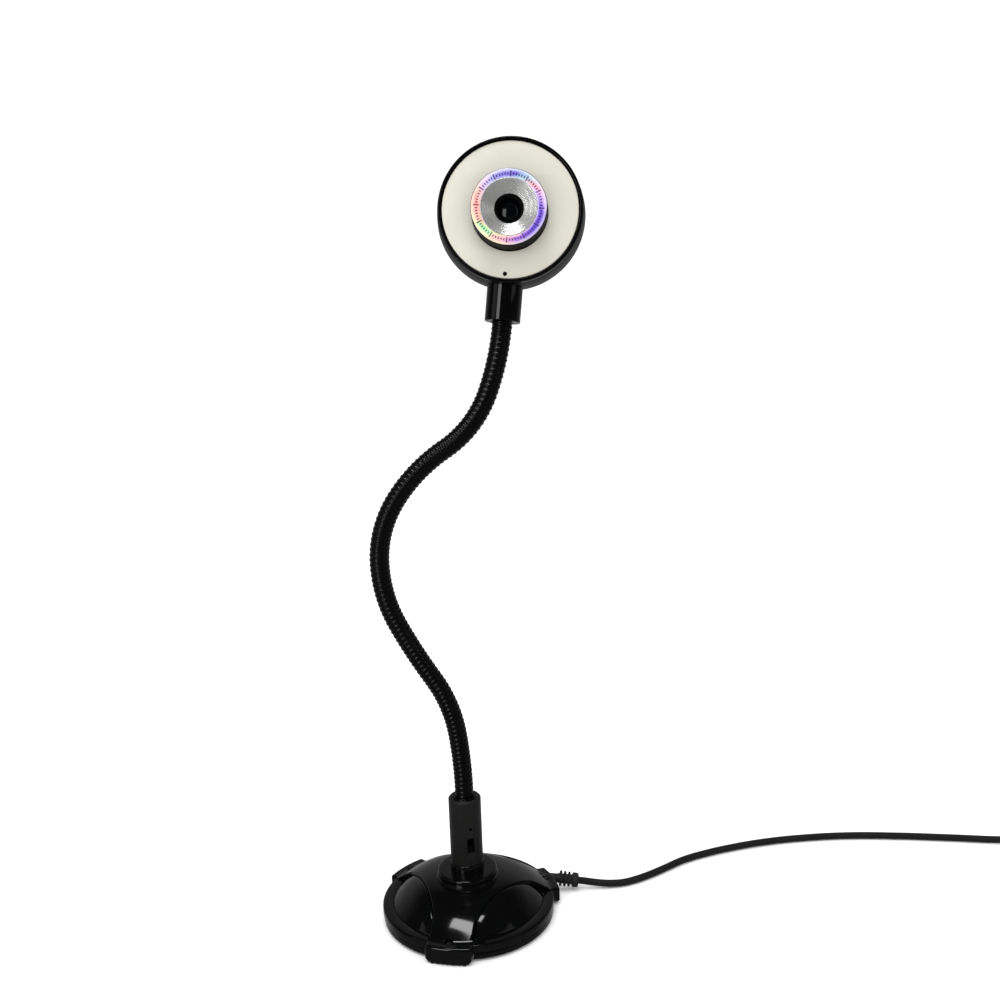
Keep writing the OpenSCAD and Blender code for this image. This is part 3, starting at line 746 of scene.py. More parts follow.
def make_panel(number, turn):
    """The pillow between two legs, lens shaped in plan, its edges rolled down into the seams."""
    tip = 60 - math.degrees(math.asin((LEG_HALF + SEAM_GAP) / PANEL_R))
    turns = spaced((36, 39), (41.4, 13), (tip, 15))
    inner = [min(PANEL_R, seam_radius(60 - abs(a), SEAM_GAP)) for a in turns]
    plan = grid_of(turns, inner, [PANEL_R] * len(turns), eased(52))
    flat = plan.reshape(-1, 2)
    r = np.linalg.norm(flat, axis=1)
    away = distance_to(flat, plan[0])
    toward_tip = np.interp(np.degrees(np.abs(np.arctan2(flat[:, 1], flat[:, 0]))), [0, tip], [0.0, 1.0])
    top = dome_height(r, PANEL_DOME) - fall(away, 1.1) - fall(PANEL_R - r, 0.5)
    top = np.maximum(top - 0.9 * toward_tip ** 2 * np.clip(1 - away / 6, 0, 1), 7.6)
    points, faces, rim = gridded(raised(plan, top))
    count, thick = len(points), 1.4
    points += [(x, y, z - thick) for x, y, z in points]
    faces += [tuple(count + q for q in reversed(face)) for face in faces]
    faces += walls(rim, [count + q for q in rim])
    piece("panel_%d" % number, points, faces, "base", GLOSS, "base_panel_%d" % number, about_z(turn))


def make_tab(number, turn):
    """A foot tab: a cove up to the leg, a ledge with a dimple, a rounded edge and bevelled lower corners."""
    sides = {round(TAB_HALF * (2 * share - 1), 5) for share in eased(56)}
    dimple = {round(DIMPLE_R * (2 * share - 1), 5) for share in eased(14)}
    sides = sorted({y for y in sides if abs(y) > DIMPLE_R} | dimple)
    plan = []
    for t in eased(26):
        row = []
        for y in sides:
            near = math.sqrt((LEG_R + 0.05) ** 2 - y * y)
            if abs(y) < DIMPLE_R:
                near = max(near, DIMPLE_AT + math.sqrt(DIMPLE_R ** 2 - y * y))
            far = math.sqrt(TAB_R ** 2 - y * y) - fall(TAB_HALF - abs(y), 1.0)
            row.append((near + (far - near) * t, y))
        plan.append(row)
    plan = np.array(plan)
    flat = plan.reshape(-1, 2)
    away = distance_to(flat, np.concatenate([plan[:, 0], plan[-1], plan[::-1, -1]]))
    r = np.linalg.norm(flat, axis=1)
    cove_long, cove_deep = 2.2, 0.8
    cove = np.clip((r - LEG_R) / cove_long, 0, 1)
    high = LEG_LOW - cove_deep * (1 - (1 - cove) ** 2)
    top = high - np.where(r > LEG_R + 2, fall(away, 1.2), fall(away, 0.5))
    points, faces, last = gridded(raised(plan, top))
    rim = [points[q] for q in last]
    foot, bevel = 0.8, 1.7
    for z in (8.0, foot + bevel + 0.3, foot + bevel - 0.15, foot + 0.25, foot):
        inset = max(0, foot + bevel - z)
        ring = list(range(len(points), len(points) + len(rim)))
        for x, y, _ in rim:
            out = x > LEG_R + 0.3 or abs(y) > TAB_HALF - 0.01
            side = min(abs(y), TAB_HALF - inset) * (1 if y > 0 else -1)
            points.append((x - (0.3 * inset if out else 0), side, z))
        faces += walls(last, ring)
        last = ring
    faces.append(tuple(last))
    tab = piece("tab_%d" % number, points, faces, None, GLOSS, None, about_z(turn))
    if number == GLAND_TAB:
        bore = shifted(WORLD, *GLAND_AT) @ Matrix.Rotation(math.radians(90), 4, "Y")
        cut(tab, tool_prism(circle(2.4), 20, shifted(bore, 0, 0, -7.5)))
    dressed(tab, "base", GLOSS, "foot_tab_%d" % number)


def make_studs():
    """The dimples' floors and the pins that stand in them."""
    foot, floor, pin = 8.0, 8.5, 9.75
    floor_r, pin_r = DIMPLE_R + 0.1, 1.15
    outline = rounded(
        [(0, foot), (floor_r, foot), (floor_r, floor), (pin_r, floor), (pin_r, pin), (0, pin)],
        [0, 0.1, 0.1, 0.15, 0.3, 0], 4,
    )
    shapes = []
    for turn in TAB_TURNS:
        at = about_z(turn) @ Vector((DIMPLE_AT, 0, 0))
        rows = [[(at.x + r * x, at.y + r * y, z) for r, z in outline] for x, y in circle(1, 40)]
        shapes.append(loft(rows))
    piece("tab_studs", *gathered(shapes), "base", SATIN, "tab_pins")


def between_tabs(name, outline, turn, node, segments=72):
    """A third of a ring: the outline turned from one foot tab's side to the next one's."""
    rows = []
    for k in range(segments + 1):
        row = []
        for r, z in outline:
            start = math.degrees(math.asin((TAB_HALF + 0.06) / r))
            a = math.radians(turn + start + (120 - 2 * start) * k / segments)
            row.append((r * math.cos(a), r * math.sin(a), z))
        rows.append(row)
    piece(name, *loft(rows, capped=True), "base", GLOSS, node)


def make_rim(number, turn):
    """The upper skirt, with a step on its underside and a flat flange inside."""
    flange_r, skirt_r = 36.9, 43.0
    skirt_low, flange_low, flange_top, top = 4.75, 5.8, 7.4, 9.0
    outline = [
        (flange_r, flange_top), (flange_r, flange_low), (skirt_r, flange_low), (skirt_r, skirt_low),
        (BASE_R, skirt_low), (BASE_R, top), (RIM_IN, top), (RIM_IN, flange_top),
    ]
    shape = rounded(outline, [0.2, 0.2, 0.1, 0.1, 0.35, 0.85, 0.3, 0.1], 6)
    between_tabs("rim_%d" % number, shape, turn, "base_rim")


def make_tray_wall(number, turn):
    """The tray's wall, which ends a little below the rim, so that a gap shows between them."""
    inner, outer, top = 43.0, 44.6, 4.35
    outline = [
        (TRAY_R, TRAY_LOW), (outer, TRAY_LOW), (outer, top),
        (inner, top), (inner, TRAY_TOP), (TRAY_R, TRAY_TOP),
    ]
    shape = rounded(outline, [0.1, 0.9, 0.5, 0.2, 0.4, 0.1], 6)
    between_tabs("tray_wall_%d" % number, shape, turn, "base_tray")


def make_tray_floor():
    """The tray's flat floor, with a hole for each screw."""
    floor = turned("tray_floor", rectangle(0, TRAY_LOW, TRAY_R, TRAY_TOP), None, GLOSS)
    for turn in TAB_TURNS:
        at = about_z(turn + 60) @ Vector((33, 0, -1))
        cut(floor, tool_prism(circle(1.7, 32), 6, shifted(WORLD, *at)))
    dressed(floor, "base", GLOSS, "base_tray")


def make_pads():
    """Rubber pads under the tabs, with grip ribs across them."""
    ribs, step, wide, near, far = 7, 2.66, 2.3, 43.5, 47.3
    cx, half_x, half_y = (near + far) / 2, (far - near) / 2, wide / 2
    shapes = []
    for turn in TAB_TURNS:
        spin = about_z(turn)
        for k in range(ribs):
            y0 = -9.2 + step * k
            cy = y0 + half_y
            outline = rounded(rectangle(near, y0, far, y0 + wide), 0.5, 5)
            rows = []
            for z, inset in ((0.85, 0.0), (0.25, 0.0), (0.07, 0.07), (0.0, 0.25)):
                along, aside = 1 - inset / half_x, 1 - inset / half_y
                places = [(cx + (x - cx) * along, cy + (y - cy) * aside, z) for x, y in outline]
                rows.append([spin @ Vector(place) for place in places])
            shapes.append(loft(rows, capped=True))
    piece("rubber_pads", *gathered(shapes), "base", RUBBER, "foot_pads")


def make_gland():
    """The strain relief: a smooth neck from the tab, soft ribs that get smaller, and an end block."""
    neck, step, width, core, long = 5.5, 2.3, 1.1, 2.6, 15.6
    outline = [(0, -5.0), (2.0, -5.0), (2.0, -0.6), (2.2, 0), (2.25, 3.6), (core, neck - 0.3)]
    radii = [0, 0, 0, 0.3, 0.6, 0.4]
    for k in range(3):
        z, r = neck + step * k, 4.15 - 0.1 * k
        outline += [(core, z), (r, z + 0.05), (r, z + width - 0.05), (core, z + width)]
        radii += [0.25, 0.42, 0.42, 0.25]
    z = neck + 3 * step
    outline += [(core, z), (3.85, z + 0.05), (3.75, long - 0.05), (2.3, long), (0, long)]
    radii += [0.25, 0.5, 0.6, 0.2, 0]
    place = shifted(WORLD, *GLAND_AT) @ Matrix.Rotation(math.radians(99), 4, "Y")
    turned("strain_relief", rounded(outline, radii, 4), "base", RUBBER, "cable_gland", place, 64)


for number, tab_turn in enumerate(TAB_TURNS, 1):
    make_panel(number, tab_turn + 60)
    make_tab(number, tab_turn)
    make_rim(number, tab_turn)
    make_tray_wall(number, tab_turn)
make_cover()
make_studs()
make_tray_floor()
make_pads()
make_gland()

# ---- the stem

BOSS_R, BOSS_TOP = 15.5, 25.9
STEM_R, STEM_TOP = 8.4, 66
SOCKET_TOP = BOSS_TOP + 4.5
SWITCH_TURN = -71
SWITCH_Z, SWITCH_HIGH, SWITCH_HALF = 37.6, 8.5, 1.95
LIGHT_Z = 51


def make_boss():
    bore = 8.7
    outline = [
        (bore, 21.7), (BOSS_R + 0.9, 21.3), (BOSS_R + 0.6, 22.4), (BOSS_R, 22.9),
        (BOSS_R, BOSS_TOP), (bore, BOSS_TOP),
    ]
    turned("boss", rounded(outline, [0, 0.2, 0.4, 0.6, 1.0, 0.1], 8), "base", GLOSS, "boss_disc")


def make_socket():
    bore, outer, foot = 7.65, 8.65, 19.8
    outline = rounded(rectangle(bore, foot, outer, SOCKET_TOP), [0, 0, 0.5, 0.1], 5)
    turned("socket", outline, "base", GLOSS, "stem_socket")


def make_stem():
    """The satin tube, with the mute switch's slot and the indicator's hole."""
    spigot, bore, bush_bore = 7.6, 5.9, 6.75
    foot, shoulder, bush_foot, chamfer = 14.8, SOCKET_TOP + 0.05, 60, 0.9
    outline = [
        (bore, foot), (spigot, foot), (spigot, shoulder), (STEM_R, shoulder), (STEM_R, STEM_TOP - chamfer),
        (STEM_R - chamfer, STEM_TOP), (bush_bore, STEM_TOP), (bush_bore, bush_foot), (bore, bush_foot),
    ]
    shape = rounded(outline, [0, 0.2, 0, 0.15, 0.25, 0.25, 0.15, 0, 0], 5)
    stem = turned("stem", shape, None, SATIN, segments=224)
    outward = Matrix(((0, 0, 1, 0), (1, 0, 0, 0), (0, 1, 0, 0), (0, 0, 0, 1)))
    side = shifted(about_z(SWITCH_TURN), 3, 0, 0) @ outward
    opening = rectangle(-SWITCH_HALF, SWITCH_Z, SWITCH_HALF, SWITCH_Z + SWITCH_HIGH)
    slot = rounded(opening, [0.35, 0.35, 1.0, 1.0], 6)
    hole = [(x, y + LIGHT_Z) for x, y in circle(1.0, 32)]
    cut(stem, tool_prism(slot, 8, side), tool_prism(hole, 8, side))
    dressed(stem, "base", SATIN, "stem_tube", 30)


def make_bush():
    """The bush at the stem's top, with two low rings round the neck."""
    bore, outer, foot, top = 4.95, 6.68, 60.1, STEM_TOP
    outline = [
        (bore, foot), (outer, foot), (outer, top - 0.1), (6.35, top - 0.1), (6.3, top + 0.45),
        (5.95, top + 0.45), (5.9, top), (5.6, top), (5.55, top + 0.6), (bore, top + 0.6),
    ]
    turned("bush", rounded(outline, 0.12, 3), "base", GLOSS, "stem_bush")


def make_switch():
    """The mute switch's knob, with grooves to push it by."""
    low, high = (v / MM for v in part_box("switch_slider"))
    z0, z1 = low.z, high.z
    back, face, groove = 5.2, 7.4, 7.05
    outline = [(back, z0), (face, z0)]
    for k in range(3):
        z = z0 + (z1 - z0) * (k + 1) / 4
        outline += [(face, z - 0.28), (groove, z - 0.12), (groove, z + 0.12), (face, z + 0.28)]
    outline += [(face, z1), (back, z1)]
    shape = rounded(outline, 0.14, 3)
    mid = (z0 + z1) / 2
    rows = []
    for y, inset in ((-1.6, 0.15), (-1.45, 0.0), (1.45, 0.0), (1.6, 0.15)):
        shorter = 1 - inset / (mid - z0)
        rows.append([(x - (inset if x > 6 else 0), y, mid + (z - mid) * shorter) for x, z in shape])
    piece("switch_knob", *loft(rows, capped=True), "switch", HOLE, "switch_slider", about_z(SWITCH_TURN))


make_boss()
make_socket()
make_stem()
make_bush()
make_switch()

# ---- the neck

NECK_R = 4.9
NECK_START = 67
NECK_FOOT = 54
RIB_PITCH = 2.5
RIB_LOW = 4.45
SLEEVE_IN = 4.0
CORE_R, CORE_WAVE, CORE_PITCH = 2.3, 0.2, 1.2
BEND_LENGTH = 33.8
BEND_SIDE = (-7, -24, 6.5, 25, 33.5, 24, -36, -14)
BEND_FORE = (-4.5, -2, -0.5, 1.5, 1.5, 4, 5, 6.5)
LAST = len(BEND_SIDE)


def neck_frames():
    """The frames along the neck, one at the start of each of its eight bends and one at its end."""
    at, ahead, side = Vector((0, 0, NECK_START)), Vector((0, 0, 1)), Vector((1, 0, 0))
    bends = []
    for degrees_side, degrees_fore in zip(BEND_SIDE, BEND_FORE):
        angle = math.radians(math.hypot(degrees_side, degrees_fore))
        way = math.atan2(degrees_fore, degrees_side)
        lean = side * math.cos(way) + ahead.cross(side) * math.sin(way)
        radius = BEND_LENGTH / angle
        bends.append((at.copy(), ahead.copy(), side.copy(), lean, radius))
        turn = Matrix.Rotation(angle, 3, ahead.cross(lean))
        at = at + ahead * radius * math.sin(angle) + lean * radius * (1 - math.cos(angle))
        ahead, side = turn @ ahead, turn @ side
    bends.append((at, ahead, side, side, 1e9))
    return bends


BENDS = neck_frames()


def on_neck(s):
    """The point and the axes at distance s along the neck from its first bend; straight beyond its ends."""
    k = min(max(int(s // BEND_LENGTH), 0), LAST)
    at, ahead, side, lean, radius = BENDS[k]
    run = s - k * BEND_LENGTH
    if s < 0 or k == LAST:
        return at + ahead * run, ahead, side
    a = run / radius
    turn = Matrix.Rotation(a, 3, ahead.cross(lean))
    point = at + ahead * radius * math.sin(a) + lean * radius * (1 - math.cos(a))
    return point, turn @ ahead, turn @ side


def neck_ring(s, count, radius):
    """A ring of points round the neck at s. radius gives its size at each share of a turn."""
    at, ahead, side = on_neck(s)
    across = ahead.cross(side)
    ways = [side * x + across * y for x, y in circle(1, count)]
    return [at + way * radius(j / count) for j, way in enumerate(ways)]


def rib_radius(turns):
    """The sleeve's radius over one pitch: a broad round rib and a narrow low one beside it."""
    broad, u = 0.62, turns % 1
    if u < broad:
        height = math.sin(math.pi * u / broad) ** 0.6
    else:
        height = 0.45 * math.sin(math.pi * (u - broad) / (1 - broad)) ** 0.8
    return RIB_LOW + (NECK_R - RIB_LOW) * height


def make_sleeve(k):
    """The corrugated sleeve over bend k, its rib a helix that runs on from one sleeve to the next."""
    end = k * BEND_LENGTH
    low = NECK_FOOT - NECK_START if k == 1 else end - BEND_LENGTH
    high = end + 8 if k == LAST else end
    limit = high if k == LAST else end - 1e-6
    around, inner_rings = 48, 12
    count = round((high - low) / RIB_PITCH * 14)
    rows = []
    for i in range(count + 1):
        s = low + (high - low) * i / count
        rows.append(neck_ring(min(s, limit), around, lambda share: rib_radius(s / RIB_PITCH - share)))
    for i in range(inner_rings, -1, -1):
        s = low + (high - low) * i / inner_rings
        rows.append(neck_ring(min(s, limit), around, lambda share: SLEEVE_IN))
    sleeve = piece("sleeve_%d" % k, *loft(rows), None, SLEEVE, smooth=60)
    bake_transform(sleeve)
    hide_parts("neck_sleeve_%d" % k)


def make_core(k):
    """The stiff core inside the sleeve, from one bend's middle to the next, wound like a spring."""
    low = NECK_FOOT - NECK_START if k == 0 else (k - 0.5) * BEND_LENGTH + 2.2
    high = LAST * BEND_LENGTH + 15 if k == LAST else (k + 0.5) * BEND_LENGTH - 2.2
    count = int((high - low) / 0.3)
    rows = []
    for i in range(count + 1):
        s = low + (high - low) * i / count
        rows.append(neck_ring(
            s, 24, lambda share: CORE_R + CORE_WAVE * math.cos(2 * math.pi * (s / CORE_PITCH - share)),
        ))
    body = "base" if k == 0 else "head" if k == LAST else "neck_%d" % k
    piece("core_%d" % k, *loft(rows, capped=True), body, CORE, "neck_link_%d" % k, smooth=60)


for k in range(1, LAST + 1):
    make_sleeve(k)
for k in range(LAST + 1):
    make_core(k)

# ---- the head

PLATE_R = 31.4
BACK_R = PLATE_R + 2.1
SHELL_R = 34.8
SHELL_WIDE, SHELL_DEPTH = 12.8, 27.6
SCREW_X = 27.5
SCREW_FLOOR = -18.6
MIC_Y = -29.3
COLLAR_R = 8.35
COLLAR_BACK = 10
COLLAR_FOOT, COLLAR_TOP = -50.1, -30.2
FOCUS_R = 17.3
FOCUS_REACH = 11.6
LENS_DROP = 1.4
CONE_R, CONE_IN, CONE_DROP = 12.6, 6.8, 3.6
CELL_R = 6.9
CELL_FRONT = FOCUS_REACH - CONE_DROP - 1.6
FOIL = rainbow_foil((CONE_R + 0.5) * MM, (FOCUS_R - 1.0) * MM)


def collar_tool(clearance):
    """A cylinder to cut with, a little wider than the collar and on its axis."""
    return tool_prism(circle(COLLAR_R + clearance, 96), 25, shifted(HEAD_FRAME, 0, COLLAR_BACK, COLLAR_FOOT))


def make_plate():
    """The flat face plate, its edges rounded, with the focus barrel's hole and the microphone's."""
    edge = 0.22
    data = bpy.data.curves.new("front_plate", "CURVE")
    data.dimensions = "2D"
    data.fill_mode = "BOTH"
    data.extrude = (PLATE_THICK / 2 - edge) * MM
    data.bevel_depth = edge * MM
    data.bevel_resolution = 3
    loops = ((0, PLATE_R - edge, 160), (-LENS_DROP, FOCUS_R + 0.3 + edge, 160), (MIC_Y, 1.0 + edge, 48))
    for y, r, count in loops:
        spline = data.splines.new("POLY")
        spline.points.add(count - 1)
        for point, (across, up) in zip(spline.points, circle(r * MM, count)):
            point.co = (across, y * MM + up, 0, 1)
        spline.use_cyclic_u = True
    made = linked("plate_curve", data)
    bpy.context.view_layer.update()
    mesh = bpy.data.meshes.new_from_object(made.evaluated_get(bpy.context.evaluated_depsgraph_get()))
    bpy.data.objects.remove(made)
    bpy.data.curves.remove(data)
    mesh.name = "front_plate"
    with editing(mesh) as bm:
        bmesh.ops.remove_doubles(bm, verts=bm.verts, dist=1e-7)
    plate = linked("front_plate", mesh, shifted(PLATE_FRAME, 0, 0, -PLATE_THICK / 2))
    dressed(plate, "head", PLATE, "face_plate")


def make_bezel():
    """The gloss ring round the plate and the ledge under it, with a post for each case screw."""
    lip, ledge = PLATE_R + 0.1, PLATE_R - 5
    outline = [
        (ledge, -3), (BACK_R, -3), (BACK_R, 0.15), (PLATE_R + 1.6, 0.8),
        (PLATE_R + 0.75, 0.8), (lip, 0.15), (lip, -1.25), (ledge, -1.25),
    ]
    shape = rounded(outline, [0.1, 0.15, 0.5, 0.35, 0.3, 0.2, 0.05, 0.1], 5)
    bezel = turned("bezel", shape, None, GLOSS, place=PLATE_FRAME, segments=256)
    post = rounded([(0, -16.9), (2.3, -16.9), (2.3, -3.2), (2.9, -2.4), (0, -2.4)], [0, 0.3, 0.4, 0, 0], 4)
    for x in (-SCREW_X, SCREW_X):
        add(bezel, turned("post", post, None, GLOSS, place=shifted(PLATE_FRAME, x, 0, 0), segments=48))
        cut(bezel, tool_prism(circle(1.1, 32), 12, shifted(PLATE_FRAME, x, 0, -17.9)))
    cut(bezel, tool_prism(circle(1.9, 40), 8, shifted(PLATE_FRAME, 0, MIC_Y, -8)), collar_tool(0.3))
    dressed(bezel, "head", GLOSS, "bezel_ring")


def shell_line(inset, n=40):
    """The shell's outline from its seam round to its back, moved in by inset."""
    line = [(BACK_R - inset, -3.1), (PLATE_R + 2.9 - inset, -7)]
    for i in range(n + 1):
        a = math.pi / 2 * i / n
        line.append((
            (SHELL_R - inset) * math.cos(a),
            -SHELL_WIDE - (SHELL_DEPTH - SHELL_WIDE - inset) * math.sin(a),
        ))
    return line


def make_shell():
    """The back half of the head: a bowl with a screw well at each side and a hole for the collar."""
    outer, inner = shell_line(0), shell_line(2)
    outline = [(inner[0][0], -3.1)] + outer + inner[::-1][:-1]
    radii = [0.1, 0.35, 4.0] + [0] * (len(outline) - 3)
    shell = turned("shell", rounded(outline, radii, 6), None, SHELL, place=PLATE_FRAME, segments=224)
    post_r = 3.9
    far = SHELL_WIDE + (SHELL_DEPTH - SHELL_WIDE) * math.sqrt(1 - ((SCREW_X + post_r) / SHELL_R) ** 2) * 0.985
    post = rounded(rectangle(0, 0.3 - far, post_r, SCREW_FLOOR + 1.6), [0, 0, 0.4, 0], 4)
    well = rounded(
        [(0, -30), (3.2, -30), (2.6, -23), (2.6, SCREW_FLOOR), (1.35, SCREW_FLOOR), (1.35, -14), (0, -14)],
        [0, 0, 0, 0.2, 0, 0, 0], 4,
    )
    for x in (-SCREW_X, SCREW_X):
        place = shifted(PLATE_FRAME, x, 0, 0)
        add(shell, turned("post", post, None, SHELL, place=place, segments=64))
        cut(shell, turned("well", well, None, SHELL, place=place, segments=64))
    cut(shell, collar_tool(0.06))
    dressed(shell, "head", SHELL, "rear_shell", 32)


def make_case_screws():
    """The two screws from behind, with domed heads, a cross recess and rings in place of a thread."""
    threads, pitch, crest, root = 14, 0.5, 1.0, 0.78
    outline = [(0, -1.35), (1.1, -1.3), (1.75, -1.1), (2.15, -0.6), (2.2, -0.05), (crest, -0.05)]
    radii = [0, 0.4, 0.3, 0.25, 0.05, 0] + [0.04, 0.04] * threads + [0.1, 0]
    for k in range(threads):
        outline += [(crest, 0.3 + pitch * k), (root, 0.55 + pitch * k)]
    outline = rounded(outline + [(0.5, 7.7), (0, 7.9)], radii, 2)
    arm = rounded(rectangle(-1.3, -0.25, 1.3, 0.25), 0.12, 3)
    screws = []
    for side in (-1, 1):
        place = shifted(PLATE_FRAME, side * SCREW_X, 0, SCREW_FLOOR)
        screw = turned("housing_screws", outline, None, STEEL, place=place, segments=64)
        for turn in (20 + 30 * side, 110 + 30 * side):
            cut(screw, tool_prism(arm, 1.2, shifted(place @ about_z(turn), 0, 0, -1.8)))
        screws.append(screw)
    dressed(add(*screws), "head", STEEL, "case_screws")


def make_collar():
    """The tube under the head that takes the neck."""
    bore = NECK_R + 0.1
    outline = [
        (bore, COLLAR_FOOT + 1.2), (bore + 0.5, COLLAR_FOOT), (COLLAR_R, COLLAR_FOOT),
        (COLLAR_R, COLLAR_TOP), (bore, COLLAR_TOP),
    ]
    shape = rounded(outline, [0.2, 0.15, 0.35, 0.1, 0.1], 5)
    turned("collar", shape, "head", GLOSS, "head_collar", shifted(HEAD_FRAME, 0, COLLAR_BACK, 0), 160)


def make_barrel():
    front, mouth, back = FOCUS_REACH, CONE_R + 0.3, 15.9
    outline = [
        (back, -2.4), (FOCUS_R, -2.4), (FOCUS_R, front - 0.5), (FOCUS_R - 0.12, front - 0.12),
        (FOCUS_R - 0.22, front - 0.6), (mouth, front - 0.6), (mouth, front - 2.4), (back, front - 2.4),
    ]
    shape = rounded(outline, [0, 0.3, 0.3, 0.05, 0.05, 0, 0, 0], 6)
    turned("barrel", shape, "focus", BARREL, "focus_barrel", LENS_FRAME, 256)


def make_ring():
    """The iridescent ring, with a thin polished rim at its outer and its inner edge."""
    front, inner, outer = FOCUS_REACH, CONE_R + 0.35, FOCUS_R - 0.24
    outline = rounded(rectangle(inner, front - 0.55, outer, front - 0.08), 0.06, 2)
    ring = turned("iridescent_ring", outline, "focus", FOIL, "hologram_ring", LENS_FRAME, 256)
    ring.data.materials.append(SILVER)
    with editing(ring.data) as bm:
        for face in bm.faces:
            r = face.calc_center_median().xy.length / MM
            if r < inner + 0.3 or r > outer - 0.4:
                face.material_index = 1


def make_cone():
    """The turned aluminium funnel round the opening, stepped by the tool into fine rings."""
    front, rings, lip = FOCUS_REACH, 12, 0.25
    mouth = CONE_R - 0.3
    width = (mouth - CONE_IN) / rings
    outline = [
        (CONE_R - 1.2, front - 2.45), (CONE_R + 0.28, front - 2.45), (CONE_R + 0.28, front - 0.05),
        (CONE_R + 0.2, front), (CONE_R - 0.05, front),
    ]
    for k in range(rings):
        for share, dip in ((0.0, 0.0), (0.16, 0.05), (0.34, 0.0), (0.6, -0.03), (0.9, 0.0)):
            inward = width * (k + share)
            fallen = (CONE_DROP - lip) * inward / (mouth - CONE_IN)
            outline.append((mouth - inward, front - lip - fallen - dip))
    edge = front - CONE_DROP
    outline += [(CONE_IN, edge), (CONE_IN - 0.05, edge - 0.15), (CONE_IN, edge - 0.7)]
    turned("cone", outline, "focus", SILVER, "lens_cone", LENS_FRAME, 256, 50)


def make_cell():
    """The lens's black cell: a wall with fine grooves, and steps down to the glass."""
    front, back, pitch, grooves_and_shade = CELL_FRONT, -8.5, 0.5, 22
    outline = [(3.2, back + 0.1), (CELL_R, back)]
    for k in range(grooves_and_shade):
        z = back + pitch * (k + 1)
        outline += [(CELL_R, z), (CELL_R - 0.14, z + pitch / 2)]
    steps = [
        (CELL_R, 0, 0.2), (6.45, 0, 0.1), (6.35, 0.35, 0.05), (6.0, 0.4, 0.06), (5.9, 0.85, 0.05),
        (5.6, 0.9, 0.06), (5.5, 1.5, 0.05), (5.25, 1.6, 0.08), (5.2, 4.2, 0), (3.2, 4.2, 0.05),
    ]
    outline += [(r, front - drop) for r, drop, _ in steps]
    radii = [0, 0.2] + [0.03, 0.03] * grooves_and_shade + [radius for _, _, radius in steps]
    turned("cell", rounded(outline, radii, 2), "lens", LENS_BLACK, "lens_cell", LENS_FRAME, 160)


def make_glass():
    """The front element, a dome with a ground rim, and the flat one at the back."""
    top, base, ball, edge = CELL_FRONT - 1.6, CELL_FRONT - 4.15, 9.6, 4.9
    centre = top - ball
    outline = [(0, base), (edge, base), (edge, centre + math.sqrt(ball * ball - edge * edge) - 0.1)]
    for k in range(25):
        r = (edge - 0.08) * (1 - k / 24)
        outline.append((r, centre + math.sqrt(ball * ball - r * r)))
    front = turned("front_element", outline, None, GLASS, place=LENS_FRAME, segments=128)
    back = rounded(rectangle(0, -8.2, 4.1, -6.6), [0, 0.15, 0.15, 0], 3)
    rear = turned("rear_element", back, None, GLASS, place=LENS_FRAME, segments=96)
    dressed(add(front, rear), "lens", GLASS, "lens_glass")


make_plate()
make_bezel()
make_shell()
make_case_screws()
make_collar()
make_barrel()
make_ring()
make_cone()
make_cell()
make_glass()

# ---- the CAD parts kept as they are

KEPT = {
    "ballast": IRON, "stem_nut": STEEL, "base_screws": STEEL, "switch_housing": HOLE, "indicator_light": HOLE,
    "lens_mount": LENS_BLACK, "camera_board": BOARD, "image_sensor": SENSOR, "microphone": HOLE,
    "plug_shell": STEEL, "plug_tongue": WHITE,
}
for node, material in KEPT.items():
    mesh = frame["nodes"][node].data
    mesh.materials.clear()
    mesh.materials.append(material)

# ---- floor and light


def make_floor():
    """The pale floor. Gloss doesn't mirror it, as a black flag over the sweep would do in a studio."""
    s = Surface("studio_floor", Roughness=0.6, Specular_IOR_Level=0.2)
    s.color(s.ramp(s.noise(3), [(0.3, (0.89, 0.89, 0.885)), (0.7, (0.905, 0.905, 0.90))]))
    mesh = bpy.data.meshes.new("floor")
    mesh.from_pydata([(-20, -8, 0), (20, -8, 0), (20, 32, 0), (-20, 32, 0)], [], [(0, 1, 2, 3)])
    mesh.materials.append(s.material)
    floor = linked("floor", mesh)
    floor.visible_glossy = False


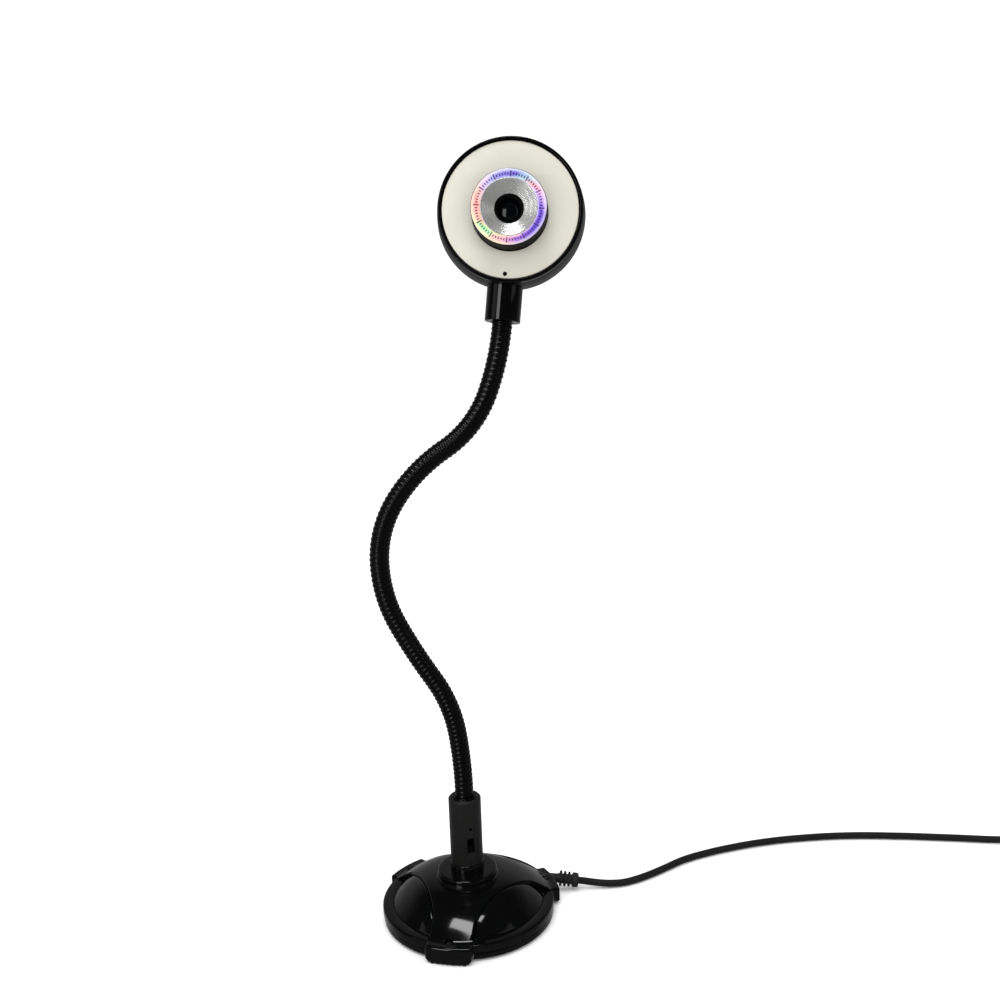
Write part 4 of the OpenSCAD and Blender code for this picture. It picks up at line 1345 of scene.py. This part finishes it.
def area_light(name, at, target, size, radiance, gloss=True, matt=True):
    """A rectangular softbox that faces its target. It lights gloss, matt surfaces or both."""
    data = bpy.data.lights.new(name, "AREA")
    data.shape = "RECTANGLE"
    data.size, data.size_y = size
    data.energy = radiance * math.pi * size[0] * size[1]
    light = linked(name, data)
    light.location = at
    light.rotation_euler = (Vector(target) - Vector(at)).to_track_quat("-Z", "Y").to_euler()
    light.visible_camera = False
    light.visible_glossy = gloss
    light.visible_diffuse = matt


def soft_sun():
    """An even wash from above that keeps the floor white."""
    data = bpy.data.lights.new("wash", "SUN")
    data.energy = 1.6
    data.angle = math.radians(120)
    linked("wash", data).visible_glossy = False


def make_world():
    """White to the camera and to matt surfaces. Gloss sees a dim room with a paler wall behind."""
    world = bpy.data.worlds.new("studio")
    bpy.context.scene.world = world
    world.use_nodes = True
    tree = Nodes(world.node_tree)

    def chosen(share, a, b):
        node = tree.add("ShaderNodeMix")
        for name, value in (("Factor", share), ("A", a), ("B", b)):
            tree.feed(node.inputs[name], value)
        return node.outputs["Result"]

    way = tree.add("ShaderNodeSeparateXYZ")
    tree.link(tree.add("ShaderNodeTexCoord").outputs["Generated"], way.inputs["Vector"])
    fore, rise = way.outputs["Y"], way.outputs["Z"]
    wall = tree.math("MULTIPLY", tree.spread(fore, 0, 0.27, 0.15, 0.75), tree.spread(rise, 1, 0, 0.4, 0.7))
    room = tree.math("ADD", wall, tree.spread(rise, 0.14, 0.015, -0.5, 0.1))
    seen = tree.add("ShaderNodeLightPath").outputs
    around = chosen(seen["Is Glossy Ray"], 0.85, room)
    back = tree.nodes["Background"]
    tree.feed(back.inputs["Color"], (1.0, 1.0, 1.0))
    tree.link(chosen(seen["Is Camera Ray"], around, 1.1), back.inputs["Strength"])


make_floor()
make_world()
soft_sun()
area_light("overhead", (-0.10, -0.21, 1.2), (0, 0, 0.05), (0.48, 0.23), 11)
area_light("front_left", (-0.62, -0.98, 0.55), (0, 0, 0.25), (0.4, 0.9), 3.8, matt=False)
area_light("front", (0.0, -1.3, 0.75), (0.03, 0, 0.36), (0.9, 0.7), 1.3, gloss=False)
area_light("left_soft", (-1.15, -0.55, 0.8), (0.03, 0, 0.36), (0.7, 0.7), 0.42, matt=False)
area_light("right_soft", (1.1, -0.6, 0.8), (0.03, 0, 0.36), (0.6, 0.6), 0.4, matt=False)
bpy.context.scene.view_settings.view_transform = "Standard"
